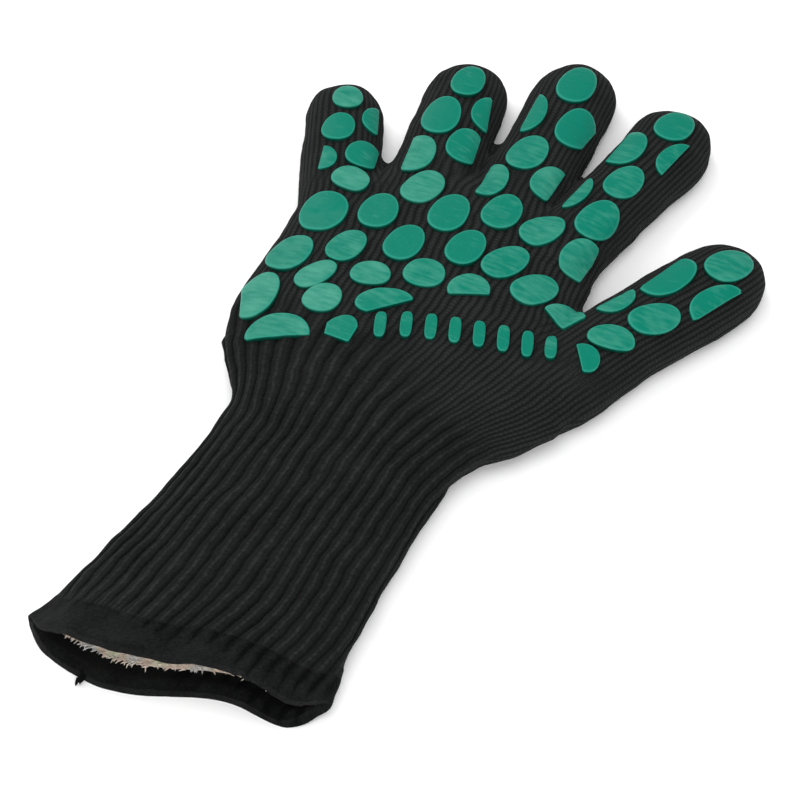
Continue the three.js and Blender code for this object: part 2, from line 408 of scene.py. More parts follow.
def place_vertices(mesh: bpy.types.Mesh, points: np.ndarray) -> None:
    """Moves the vertices of a mesh to an array of rows."""
    mesh.vertices.foreach_set("co", points.reshape(-1))
    mesh.update()


@dataclass(frozen=True)
class Ripple:
    """A soft repeatable pattern of waves: the longest wave, the height, and which pattern."""

    size: float
    seed: int
    height: float
    waves: int = 9
    shortest: float = 0.45
    phases: float = 6.28
    divisor: float = 4.0

    def at(self, points: np.ndarray) -> np.ndarray:
        """The ripple's height at drawing points.

        Args:
            points: Drawing points, in millimetres.

        Returns:
            One value for each point, about as far from 0 as the height.
        """
        source = np.random.default_rng(self.seed)
        total = np.zeros(len(points))
        for _ in range(self.waves):
            direction = source.normal(size=3)
            direction /= np.linalg.norm(direction)
            length = self.size * source.uniform(self.shortest, 1.0)
            phase = source.uniform(0, self.phases)
            total += np.sin(points @ direction * (2 * math.pi / length) + phase)
        return total / self.divisor * self.height


class Layer(Enum):
    """The two layers of the glove that are made from the same form."""

    SHELL = 0.0
    LINING = 3.3


@dataclass(frozen=True)
class SoftSettling:
    """Lets a coarse cloth copy of a filled form swell, and moves the form by what the cloth did."""

    voxel: float = 4.5
    pressure: float = 4.0
    frames: int = 20
    reach: float = 1.4
    sideways: float = 0.1
    nearest: int = 4
    least: float = 1e-9

    def cloth_copy(self, form: bpy.types.Object) -> bpy.types.Object:
        """A coarse copy of the form with an even mesh for the cloth.

        Args:
            form: The filled form.

        Returns:
            The copy.
        """
        copy = bpy.data.objects.new("cloth_copy", form.data.copy())
        bpy.context.scene.collection.objects.link(copy)
        activate(copy)
        copy.data.remesh_voxel_size = self.voxel * MM
        bpy.ops.object.voxel_remesh()
        return copy

    def swell(self, copy: bpy.types.Object) -> np.ndarray:
        """Runs the cloth and reads where it ends.

        Args:
            copy: The coarse copy.

        Returns:
            Its vertices after the last frame.
        """
        cloth = copy.modifiers.new("cloth", "CLOTH")
        cloth.settings.use_pressure = True
        cloth.settings.uniform_pressure_force = self.pressure
        cloth.settings.effector_weights.gravity = 0.0
        cloth.point_cache.frame_start = 1
        cloth.point_cache.frame_end = self.frames
        scene = bpy.context.scene
        for number in range(1, self.frames + 1):
            scene.frame_set(number)
        settled = copy.evaluated_get(bpy.context.evaluated_depsgraph_get())
        after = coordinates(settled.data)
        scene.frame_set(1)
        return after

    def settle(self, form: bpy.types.Object) -> None:
        """Moves a form the way its cloth copy swells, mostly up and down, the most by the reach.

        Args:
            form: The filled form.
        """
        copy = self.cloth_copy(form)
        before = coordinates(copy.data)
        moved = (self.swell(copy) - before) * np.array([self.sideways, self.sideways, 1.0])
        size = np.linalg.norm(moved, axis=1)
        moved *= self.reach * MM / max(size.max(), self.least)
        tree = KDTree(len(before))
        for index, place in enumerate(before):
            tree.insert(place, index)
        tree.balance()
        rows = coordinates(form.data)
        for number, row in enumerate(rows.copy()):
            found = tree.find_n(row, self.nearest)
            weights = np.array([1.0 / (distance + MM) for _, _, distance in found])
            shifts = moved[[index for _, index, _ in found]]
            rows[number] += weights @ shifts / weights.sum()
        place_vertices(form.data, rows)
        LOG.info("cloth of %d points swelled by up to %.2f mm", len(before), size.max() / MM)
        bpy.data.objects.remove(copy)


@dataclass
class GloveForm:
    """The filled form of the glove, fused from tubes and softened. Lengths are in millimetres."""

    layer: Layer
    voxel: float
    sides: int = 24
    centre_share: float = 0.42
    upper_share: float = 0.58
    thinnest: float = 0.8
    roundness: float = 2.4
    nose_steps: tuple[float, ...] = (0.0, 0.3, 0.55, 0.75, 0.88, 0.96, 1.0)
    nose_power: float = 2.3
    nose_narrowest: float = 0.2
    nose_drop: tuple[float, float] = (3.4, 2.6)
    nose_heights: tuple[float, float] = (0.35, 0.65)
    nose_lowest: float = 0.1
    smoothing: int = 3
    softness: float = 0.5
    levels: int = 2
    lip_ease: float = 4.0
    mouth_reach: float = 34.0
    lips_part: tuple[float, float] = (5.0, 12.0)
    sway_height: float = 0.7
    sway_length: float = 13.0
    sway_from: float = -60.0
    sway_drop: float = 0.9
    mouth_middle: float = -6.5
    mouth_half: float = 51.0
    corner_pinch: float = 0.36
    pinch_from: float = 0.6

    def tube(self, sections: list[tuple[Vector, float, float]], lean: float) -> bpy.types.Object:
        """One closed tube, extruded ring by ring.

        Args:
            sections: Middle on the drawing, half width and height of each ring, in millimetres.
            lean: The direction of the tube, in degrees from +Y towards +X.

        Returns:
            The tube.
        """
        inset = self.layer.value
        rings = []
        for middle, half, height in sections:
            centre = to_row(Vector((middle.x, middle.y, height * self.centre_share)))
            wide = max(half - inset, self.thinnest) * MM
            high = max(height * self.upper_share - inset, self.thinnest) * MM
            rings.append((centre, wide, high))
        deselect()
        centre, wide, high = rings[0]
        bpy.ops.mesh.primitive_circle_add(
            vertices=self.sides, radius=1.0, fill_type="NGON", location=centre,
            rotation=(math.pi / 2, 0.0, -math.radians(lean)))
        piece = bpy.context.active_object
        self.square_up(piece)
        bpy.ops.object.transform_apply(location=True, rotation=True, scale=True)
        bpy.ops.object.mode_set(mode="EDIT")
        bpy.ops.mesh.select_all(action="SELECT")
        bpy.ops.transform.resize(value=(wide, wide, high), center_override=centre)
        for (c0, w0, h0), (c1, w1, h1) in zip(rings, rings[1:]):
            bpy.ops.mesh.extrude_region_move(TRANSFORM_OT_translate={"value": c1 - c0})
            bpy.ops.transform.resize(value=(w1 / w0, w1 / w0, h1 / h0), center_override=c1)
        bpy.ops.mesh.select_all(action="SELECT")
        bpy.ops.mesh.normals_make_consistent(inside=False)
        bpy.ops.object.mode_set(mode="OBJECT")
        return piece

    def square_up(self, ring: bpy.types.Object) -> None:
        """Makes a round ring of radius 1 fuller towards its corners."""
        points = coordinates(ring.data)
        points = np.sign(points) * np.abs(points) ** (2 / self.roundness)
        place_vertices(ring.data, points)

    def edge_tube(self, rows: tuple[Row, ...]) -> bpy.types.Object:
        """The palm or the cuff, from its rows."""
        sections = [(Vector((row.middle, row.y, 0)), row.half, row.height) for row in rows]
        return self.tube(sections, 0.0)

    def digit_tube(self, digit: Digit) -> bpy.types.Object:
        """One digit with a rounded nose.

        Args:
            digit: The finger or the thumb.

        Returns:
            The closed tube.
        """
        sections = [(digit.place(s, t), h, DIGIT_HEIGHT) for s, t, h in digit.stations]
        _, across, half = digit.stations[-1]
        start = digit.tip - digit.nose
        reach = digit.nose - self.layer.value
        out, back = self.nose_drop
        flat, domed = self.nose_heights
        for step in self.nose_steps:
            narrow = (1 - step ** self.nose_power) ** (1 / self.nose_power)
            narrow = max(narrow, self.nose_narrowest)
            t = across + (digit.tip_across - across) * step
            dome = max((1 - step ** out) ** (1 / back), self.nose_lowest)
            low = DIGIT_HEIGHT * (flat + domed * dome)
            sections.append((digit.place(start + reach * step, t), half * narrow, low))
        return self.tube(sections, digit.lean)

    def fused(self) -> bpy.types.Object:
        """All tubes in one soft closed surface, flat where it lies on the table.

        Returns:
            The filled form.
        """
        tubes = [self.edge_tube(PALM_ROWS), self.edge_tube(CUFF_ROWS)]
        tubes += [self.digit_tube(digit) for digit in DIGITS]
        deselect()
        for tube in tubes:
            tube.select_set(True)
        bpy.context.view_layer.objects.active = tubes[0]
        bpy.ops.object.join()
        form = bpy.context.active_object
        form.data.remesh_voxel_size = self.voxel * MM
        bpy.ops.object.voxel_remesh()
        self.press(form)
        smooth = form.modifiers.new("soften", "SMOOTH")
        smooth.factor = self.softness
        smooth.iterations = self.smoothing
        finish_modifier(form, smooth)
        SoftSettling().settle(form)
        self.press(form)
        return form

    def shape_mouth(self, form: bpy.types.Object) -> np.ndarray:
        """Draws the straight-cut end of the cuff to its two wavy lips.

        Args:
            form: The form, already cut and refined.

        Returns:
            How deep inside the mouth each vertex lay before, in millimetres.
        """
        points = drawing(coordinates(form.data))
        depth = mouth_distance(points)
        near = 1 - ramp(depth, 0.0, self.mouth_reach)
        upper = ramp(points[:, 2], *self.lips_part)
        level = MOUTH_Y + (points[:, 0] - MOUTH_X) * MOUTH_SLOPE
        lower_y = eased(points[:, 0], LOWER_LIP, self.lip_ease)
        upper_y = eased(points[:, 0], UPPER_LIP, self.lip_ease)
        points[:, 1] += near * (upper * upper_y + (1 - upper) * lower_y - level)
        sway = np.sin((points[:, 0] - self.sway_from) / self.sway_length)
        points[:, 2] += near * upper * (self.sway_height * sway - self.sway_drop)
        aside = np.abs(points[:, 0] - self.mouth_middle) / self.mouth_half
        points[:, 2] *= 1 - near * self.corner_pinch * ramp(aside, self.pinch_from, 1.0)
        place_vertices(form.data, (points - np.array([DRAWING_X, DRAWING_Y, 0.0])) * MM)
        return depth

    def press(self, form: bpy.types.Object) -> None:
        """Presses the underside flat against the table.

        Args:
            form: The filled form.
        """
        points = coordinates(form.data)
        floor = self.layer.value * MM
        points[:, 2] = np.maximum(points[:, 2], floor)
        place_vertices(form.data, points)

    def refine(self, form: bpy.types.Object) -> None:
        """Subdivides the form to its final density.

        Args:
            form: The form, already cut.
        """
        subdivision = form.modifiers.new("refine", "SUBSURF")
        subdivision.levels = self.levels
        subdivision.render_levels = self.levels
        finish_modifier(form, subdivision)

    def open_mouth(self, form: bpy.types.Object, inwards: float) -> None:
        """Cuts the end of the cuff away along its slanted mouth.

        Args:
            form: The closed form.
            inwards: How far inside the mouth to cut, in millimetres.
        """
        angle = math.atan(MOUTH_SLOPE)
        outwards = Vector((math.sin(angle), -math.cos(angle), 0.0))
        at = to_row(Vector((MOUTH_X, MOUTH_Y, 0.0)) - outwards * inwards)
        activate(form)
        bpy.ops.object.mode_set(mode="EDIT")
        bpy.ops.mesh.select_all(action="SELECT")
        bpy.ops.mesh.bisect(plane_co=at, plane_no=outwards, clear_outer=True, use_fill=False)
        bpy.ops.object.mode_set(mode="OBJECT")


@dataclass
class Ribbing:
    """The coarse ribs of the cuff and the fine wales of the hand, measured along the surface.

    Lengths are in millimetres. A pair of lengths is where a change begins and where it ends.
    """

    rib_count: float = 16.0
    wales_per_rib: float = 3.0
    rib_height: float = 1.25
    rib_power: float = 0.5
    rib_level: float = 0.75
    gather: float = 7.0
    gather_depth: tuple[float, float] = (2.0, 36.0)
    gather_across: tuple[float, float] = (-46.0, 6.0)
    digit_wale: float = 2.6
    digit_early: float = 6.0
    digit_reach: float = 1.25
    thumb_outer: float = 60.0
    thumb_inner: float = 0.5
    thumb_across: tuple[float, float] = (14.0, 28.0)
    course: float = 1.6
    side_share: float = 0.9
    mid_height: float = 8.0
    palm_top: float = 18.0
    digit_top: float = 16.5
    row_shifts: tuple[float, ...] = (-14.0, -9.0, -4.5, 0.0, 4.5, 9.0, 14.0)
    palm_fade: tuple[float, float] = (-28.0, 2.0)
    fade_slope: float = 0.5
    fade_left: float = -20.0
    plain_band: float = 15.0
    plain_loss: float = 12.0
    plain_across: tuple[float, float] = (-34.0, 22.0)
    plain_edge: tuple[float, float] = (-5.0, 7.0)
    felt_depth: tuple[float, float] = (6.0, 18.0)
    table_fade: tuple[float, float] = (0.2, 5.0)
    stray_broad: Ripple = Ripple(46.0, 7, 0.6)
    stray_fine: Ripple = Ripple(15.0, 9, 0.42)
    wobble: Ripple = Ripple(30.0, 5, 3.0)
    uneven: Ripple = Ripple(34.0, 15, 0.3)
    dents: Ripple = Ripple(26.0, 11, 0.35)
    small_dents: Ripple = Ripple(11.0, 12, 0.12)

    def drop(self, z: np.ndarray, top: float) -> np.ndarray:
        """How far the surface has turned down the side, the same above and below its middle."""
        folded = np.where(z >= self.mid_height, z, 2 * self.mid_height - z)
        return np.maximum(0.0, top - folded) * self.side_share

    def smooth_row(self, y: np.ndarray, values: list[float]) -> np.ndarray:
        """Reads a value of the rib rows, eased so that the ribs bend in soft curves."""
        places = [row.y for row in RIB_ROWS]
        readings = [np.interp(y + shift, places, values) for shift in self.row_shifts]
        return sum(readings) / len(readings)

    def ribs(self, points: np.ndarray) -> np.ndarray:
        """The rib count across, at drawing points.

        Args:
            points: Drawing points, in millimetres.

        Returns:
            One count for each point, whole numbers in the grooves.
        """
        middle = self.smooth_row(points[:, 1], [row.middle for row in RIB_ROWS])
        half = self.smooth_row(points[:, 1], [row.half for row in RIB_ROWS])
        depth = mouth_distance(points)
        gather = self.gather * (1 - ramp(depth, *self.gather_depth))
        gather = gather * ramp(points[:, 0], *self.gather_across)
        stray = self.stray_broad.at(points) + self.stray_fine.at(points)
        offset = points[:, 0] - middle
        turned = np.sign(offset) * (np.abs(offset) + self.drop(points[:, 2], self.palm_top))
        return (turned + gather + stray) / (2 * half) * self.rib_count + 0.5

    def digit_weave(self, points: np.ndarray) -> tuple[np.ndarray, np.ndarray, np.ndarray]:
        """Wale and course counts in the digits' own directions, and the digits' share.

        Args:
            points: Drawing points, in millimetres.

        Returns:
            The wale counts, the course counts and the shares.
        """
        count = len(points)
        nearest = np.full(count, np.inf)
        wale, course, share = np.zeros(count), np.zeros(count), np.zeros(count)
        for digit in DIGITS:
            along, across = digit.own(points[:, 0], points[:, 1])
            offset = across - digit.middle_at(along)
            apart = np.abs(offset) / digit.half_at(along)
            turned = np.sign(offset) * (np.abs(offset) + self.drop(points[:, 2], self.digit_top))
            closer = (apart < nearest) & (apart < self.digit_reach)
            closer &= along > digit.weave_from - self.digit_early
            own = ramp(along, digit.weave_from, digit.weave_to)
            if digit.name == "thumb":
                inner = digit.stations[1][2] * self.thumb_inner
                own = own * ramp(-offset, -self.thumb_outer, -inner)
                own = own * ramp(across, *self.thumb_across)
            nearest = np.where(closer, apart, nearest)
            wale = np.where(closer, turned / self.digit_wale, wale)
            course = np.where(closer, along / self.course, course)
            share = np.where(closer, own, share)
        return wale, course, share

    def rib_share(self, points: np.ndarray, depth: np.ndarray) -> np.ndarray:
        """Where the coarse ribs stand: full on the cuff, gone at the mouth and in the palm.

        Args:
            points: Drawing points, in millimetres.
            depth: How deep inside the mouth each one lies, in millimetres.

        Returns:
            A share from 0 to 1 for each point.
        """
        wobble = self.wobble.at(points)
        slant = np.maximum(points[:, 0], self.fade_left) * self.fade_slope
        fade = ramp(points[:, 1] + wobble + slant, *self.palm_fade)
        plain = self.plain_band - self.plain_loss * ramp(points[:, 0], *self.plain_across)
        return ramp(depth + wobble - plain, *self.plain_edge) * (1 - fade)

    def raise_ribs(self, piece: bpy.types.Object, depth: np.ndarray) -> None:
        """Stores the weave's own coordinates on the skin and lifts the ribs out of it.

        Args:
            piece: The skin.
            depth: How deep inside the mouth each vertex lies, in millimetres.
        """
        rows = coordinates(piece.data)
        points = drawing(rows)
        ribs = self.ribs(points)
        wale, course, digit_share = self.digit_weave(points)
        rib_share = self.rib_share(points, depth)
        store_vector(piece, "palm_weave", ribs * self.wales_per_rib, points[:, 1] / self.course)
        store_vector(piece, "digit_weave", wale, course)
        store_value(piece, "digit_share", digit_share)
        store_value(piece, "felt_share", 1 - ramp(depth, *self.felt_depth))
        store_value(piece, "rib_share", rib_share)
        store_value(piece, "mouth_depth", depth)
        profile = np.abs(np.sin(ribs * math.pi)) ** self.rib_power
        # rib_ridge is also read by the finishes to paint shade into the rib grooves.
        store_value(piece, "rib_ridge", 1 - rib_share * (1 - profile))
        uneven = 1 + self.uneven.at(points)
        lift = (profile - self.rib_level) * self.rib_height * rib_share * uneven
        lift += self.dents.at(points) + self.small_dents.at(points)
        lift *= ramp(points[:, 2], *self.table_fade)
        place_vertices(piece.data, rows + normals(piece.data) * (lift * MM)[:, None])


def face_centres(mesh: bpy.types.Mesh) -> np.ndarray:
    """The middle of each face as a drawing point."""
    flat = np.empty(len(mesh.polygons) * 3)
    mesh.polygons.foreach_get("center", flat)
    return drawing(flat.reshape(-1, 3))


def surface_of(mesh: bpy.types.Mesh) -> BVHTree:
    """A mesh as it is now, ready to be met by rays."""
    return BVHTree.FromPolygons(
        [vertex.co for vertex in mesh.vertices], [face.vertices[:] for face in mesh.polygons])


def face_means(mesh: bpy.types.Mesh, values: np.ndarray) -> np.ndarray:
    """The mean over each four-sided face of a number kept for each vertex."""
    corners = np.empty(len(mesh.loops), dtype=np.int64)
    mesh.loops.foreach_get("vertex_index", corners)
    return values[corners.reshape(-1, 4)].mean(axis=1)


def store_value(piece: bpy.types.Object, name: str, values: np.ndarray) -> None:
    """Keeps one number for each vertex of a piece."""
    attribute = piece.data.attributes.new(name, "FLOAT", "POINT")
    attribute.data.foreach_set("value", values.astype(np.float32))


def store_vector(piece: bpy.types.Object, name: str, u: np.ndarray, v: np.ndarray) -> None:
    """Keeps a pair of numbers for each vertex of a piece."""
    attribute = piece.data.attributes.new(name, "FLOAT_VECTOR", "POINT")
    rows = np.stack([u, v, np.zeros(len(u))], axis=1)
    attribute.data.foreach_set("vector", rows.astype(np.float32).reshape(-1))


# ---------------------------------------------------------------- finishes


Input = bpy.types.NodeSocket | float | tuple
Colour = tuple[float, float, float]


class NodeBuilder:
    """Adds and joins the shader nodes of one material."""

    def __init__(self, name: str) -> None:
        """Starts a material.

        Args:
            name: Its name.
        """
        self.material = bpy.data.materials.new(name)
        self.material.use_nodes = True
        self.tree = self.material.node_tree
        self.shader = self.tree.nodes["Principled BSDF"]

    def add(self, kind: str, **settings: object) -> bpy.types.Node:
        """Adds a node.

        Args:
            kind: The node's type.
            settings: Its properties.

        Returns:
            The node.
        """
        node = self.tree.nodes.new(kind)
        for key, value in settings.items():
            setattr(node, key, value)
        return node

    def join(self, source: Input, target: bpy.types.NodeSocket) -> None:
        """Links two sockets, or sets the second to a plain value.

        Args:
            source: A socket or a plain value.
            target: The socket that takes it.
        """
        if isinstance(source, bpy.types.NodeSocket):
            self.tree.links.new(source, target)
        else:
            target.default_value = source

    def feed(self, name: str, source: Input) -> None:
        """Gives the shader one of its inputs."""
        self.join(source, self.shader.inputs[name])

    def math(self, operation: str, first: Input, second: Input = 0.0) -> bpy.types.NodeSocket:
        """A Math node of two inputs.

        Args:
            operation: What it works out.
            first: Its first input.
            second: Its second input.

        Returns:
            Its result.
        """
        node = self.add("ShaderNodeMath", operation=operation)
        self.join(first, node.inputs[0])
        self.join(second, node.inputs[1])
        return node.outputs[0]

    def weigh(self, *parts: tuple[Input, float]) -> bpy.types.NodeSocket:
        """Adds numbers up, each times its share.

        Args:
            parts: Pairs of a number and its share.

        Returns:
            The sum.
        """
        scaled = [self.math("MULTIPLY", value, share) for value, share in parts]
        total = scaled[0]
        for part in scaled[1:]:
            total = self.math("ADD", total, part)
        return total

    def attribute(self, name: str, output: str = "Fac") -> bpy.types.NodeSocket:
        """Reads an attribute of the piece."""
        return self.add("ShaderNodeAttribute", attribute_name=name).outputs[output]

    def noise(self, scale: float, detail: float = 3.0,
              stretch: tuple[float, float, float] = (1.0, 1.0, 1.0)) -> bpy.types.NodeSocket:
        """Noise on the piece's own coordinates.

        Args:
            scale: How many waves to a metre.
            detail: How many finer layers.
            stretch: How much finer the pattern is along each axis.

        Returns:
            The noise, from 0 to 1.
        """
        place = self.add("ShaderNodeTexCoord")
        turn = self.add("ShaderNodeMapping")
        turn.inputs["Scale"].default_value = stretch
        node = self.add("ShaderNodeTexNoise")
        node.inputs["Scale"].default_value = scale
        node.inputs["Detail"].default_value = detail
        self.join(place.outputs["Object"], turn.inputs["Vector"])
        self.join(turn.outputs["Vector"], node.inputs["Vector"])
        return node.outputs["Fac"]

    def clamp(self, value: bpy.types.NodeSocket) -> bpy.types.NodeSocket:
        """Keeps a number between 0 and 1."""
        node = self.add("ShaderNodeClamp")
        self.join(value, node.inputs[0])
        return node.outputs[0]

    def mix(self, share: Input, first: Input, second: Input) -> bpy.types.NodeSocket:
        """Mixes two numbers.

        Args:
            share: How much of the second.
            first: The first number.
            second: The second number.

        Returns:
            The mix.
        """
        node = self.add("ShaderNodeMix", data_type="FLOAT")
        self.join(share, node.inputs[0])
        self.join(first, node.inputs[2])
        self.join(second, node.inputs[3])
        return node.outputs[0]

    def mix_colours(self, share: Input, first: Input, second: Input) -> bpy.types.NodeSocket:
        """Mixes two colours.

        Args:
            share: How much of the second.
            first: The first colour.
            second: The second colour.

        Returns:
            The mix.
        """
        node = self.add("ShaderNodeMix", data_type="RGBA")
        self.join(share, node.inputs[0])
        self.join(first, node.inputs[6])
        self.join(second, node.inputs[7])
        return node.outputs[2]

    def colours(self, value: Input,
                stops: tuple[tuple[float, Colour], ...]) -> bpy.types.NodeSocket:
        """Turns a number into a colour by stops.

        Args:
            value: The number.
            stops: Places from 0 to 1 and the colour at each.

        Returns:
            The colour.
        """
        node = self.add("ShaderNodeValToRGB")
        elements = node.color_ramp.elements
        while len(elements) < len(stops):
            elements.new(0.5)
        for element, (place, colour) in zip(elements, stops):
            element.position = place
            element.color = (*colour, 1.0)
        self.join(value, node.inputs[0])
        return node.outputs[0]

    def bump(self, height: bpy.types.NodeSocket, depth: float) -> None:
        """Bumps the surface by a height between 0 and 1.

        Args:
            height: The pattern.
            depth: What a height of 1 stands for, in millimetres.
        """
        node = self.add("ShaderNodeBump")
        node.inputs["Strength"].default_value = 1.0
        node.inputs["Distance"].default_value = depth * MM
        self.join(height, node.inputs["Height"])
        self.join(node.outputs["Normal"], self.shader.inputs["Normal"])


@dataclass(frozen=True)
class KnitFinish:
    """Charcoal knit: wales of small slanted stitches, fuzz, and painted shade between the stitches
    and in the rib grooves.
    """

    dark: Colour = (0.0014, 0.0017, 0.0016)
    middle: Colour = (0.0072, 0.0081, 0.0078)
    light: Colour = (0.023, 0.0245, 0.0238)
    stops: tuple[float, float, float] = (0.2, 0.58, 0.95)
    roughness: float = 0.95
    sheen: float = 0.022
    sheen_roughness: float = 0.6
    specular: float = 0.03
    relief: float = 0.5
    wale_power: float = 0.7
    slant: float = 1.3
    loop_depth: float = 0.13
    felt: tuple[float, float] = (900.0, 4.0)
    fuzz: tuple[float, float] = (1400.0, 2.0)
    chunk: tuple[float, float] = (620.0, 1.0)
    patch: tuple[float, float] = (60.0, 2.0)
    weave_in_ribs: float = 0.45
    chunk_in_ribs: float = 0.8
    groove_shade_power: float = 2.4
    weave_share: float = 0.55
    fuzz_share: float = 0.3
    patch_share: float = 0.22

    def stitches(self, nodes: NodeBuilder, name: str) -> bpy.types.NodeSocket:
        """The height of the stitches in one set of weave coordinates.

        Args:
            nodes: The material.
            name: Which coordinates of the piece.

        Returns:
            The height, from 0 to 1.
        """
        split = nodes.add("ShaderNodeSeparateXYZ")
        nodes.join(nodes.attribute(name, "Vector"), split.inputs[0])
        inside = nodes.math("SUBTRACT", nodes.math("FRACT", split.outputs[0]), 0.5)
        edge = nodes.math("ABSOLUTE", inside)
        wale = nodes.math("COSINE", nodes.math("MULTIPLY", edge, math.pi))
        wale = nodes.math("POWER", wale, self.wale_power)
        slant = nodes.math("ADD", split.outputs[1], nodes.math("MULTIPLY", edge, self.slant))
        wave = nodes.math("COSINE", nodes.math("MULTIPLY", slant, 2 * math.pi))
        loops = nodes.math("MULTIPLY_ADD", wave, self.loop_depth)
        loops.node.inputs[2].default_value = 1.0 - self.loop_depth
        return nodes.math("MULTIPLY", wale, loops)

    def material(self) -> bpy.types.Material:
        """Builds the material.

        Returns:
            The material.
        """
        nodes = NodeBuilder("charcoal_knit")
        palm, digit = self.stitches(nodes, "palm_weave"), self.stitches(nodes, "digit_weave")
        weave = nodes.mix(nodes.attribute("digit_share"), palm, digit)
        weave = nodes.mix(nodes.attribute("felt_share"), weave, nodes.noise(*self.felt))
        fuzz = nodes.noise(*self.fuzz)
        chunk = nodes.noise(*self.chunk)
        broken = nodes.weigh((weave, self.weave_in_ribs), (chunk, self.chunk_in_ribs))
        weave = nodes.mix(nodes.attribute("rib_share"), weave, broken)
        # Painted shade: darker in the rib grooves and, where the stitch height is low, between the
        # stitches.
        groove_shade = nodes.math("POWER", nodes.attribute("rib_ridge"), self.groove_shade_power)
        shade = nodes.weigh(
            (nodes.math("MULTIPLY", weave, groove_shade), self.weave_share),
            (fuzz, self.fuzz_share), (nodes.noise(*self.patch), self.patch_share))
        colours = (self.dark, self.middle, self.light)
        nodes.feed("Base Color", nodes.colours(shade, tuple(zip(self.stops, colours))))
        nodes.feed("Roughness", self.roughness)
        nodes.feed("Sheen Weight", self.sheen)
        nodes.feed("Sheen Roughness", self.sheen_roughness)
        nodes.feed("Specular IOR Level", self.specular)
        nodes.bump(nodes.weigh((weave, 1.0), (fuzz, self.fuzz_share)), self.relief)
        return nodes.material


@dataclass(frozen=True)
class BindingFinish:
    """Black felted edging with a soft nap, and painted shade in the rib grooves that reach it."""

    dark: Colour = (0.0014, 0.0016, 0.0016)
    light: Colour = (0.0105, 0.0112, 0.0110)
    stops: tuple[float, float] = (0.3, 0.75)
    roughness: float = 0.9
    sheen: float = 0.02
    sheen_roughness: float = 0.55
    specular: float = 0.03
    relief: float = 0.6
    nap: tuple[float, float] = (900.0, 4.0)
    broad: tuple[float, float] = (90.0, 2.0)
    nap_share: float = 0.6
    broad_share: float = 0.4
    groove_shade_power: float = 1.5

    def material(self) -> bpy.types.Material:
        """Builds the material.

        Returns:
            The material.
        """
        nodes = NodeBuilder("black_binding")
        nap = nodes.noise(*self.nap)
        shade = nodes.weigh((nap, self.nap_share), (nodes.noise(*self.broad), self.broad_share))
        # Painted shade: darker in the rib grooves that reach the band.
        groove_shade = nodes.math("POWER", nodes.attribute("rib_ridge"), self.groove_shade_power)
        shade = nodes.math("MULTIPLY", shade, groove_shade)
        colours = tuple(zip(self.stops, (self.dark, self.light)))
        nodes.feed("Base Color", nodes.colours(shade, colours))
        nodes.feed("Roughness", self.roughness)
        nodes.feed("Sheen Weight", self.sheen)
        nodes.feed("Sheen Roughness", self.sheen_roughness)
        nodes.feed("Specular IOR Level", self.specular)
        nodes.bump(nap, self.relief)
        return nodes.material


@dataclass(frozen=True)
class FleeceFinish:
    """Cream brushed fleece with faint pink, green and blue patches."""

    cream: Colour = (0.88, 0.78, 0.64)
    shade: Colour = (0.60, 0.52, 0.43)
    blue: Colour = (0.66, 0.72, 0.78)
    pink: Colour = (0.88, 0.64, 0.54)
    green: Colour = (0.68, 0.78, 0.52)
    stops: tuple[float, ...] = (0.34, 0.44, 0.52, 0.60, 0.68)
    roughness: float = 0.95
    sheen: float = 0.4
    relief: float = 0.6
    fibres: tuple[float, float] = (1600.0, 3.0)
    patch: tuple[float, float] = (95.0, 1.0)

    def material(self) -> bpy.types.Material:
        """Builds the material.

        Returns:
            The material.
        """
        nodes = NodeBuilder("cream_fleece")
        fibres = nodes.noise(*self.fibres)
        colours = (self.blue, self.cream, self.pink, self.cream, self.green)
        tint = nodes.colours(nodes.noise(*self.patch), tuple(zip(self.stops, colours)))
        nodes.feed("Base Color", nodes.mix_colours(fibres, (*self.shade, 1.0), tint))
        nodes.feed("Roughness", self.roughness)
        nodes.feed("Sheen Weight", self.sheen)
        nodes.bump(fibres, self.relief)
        return nodes.material


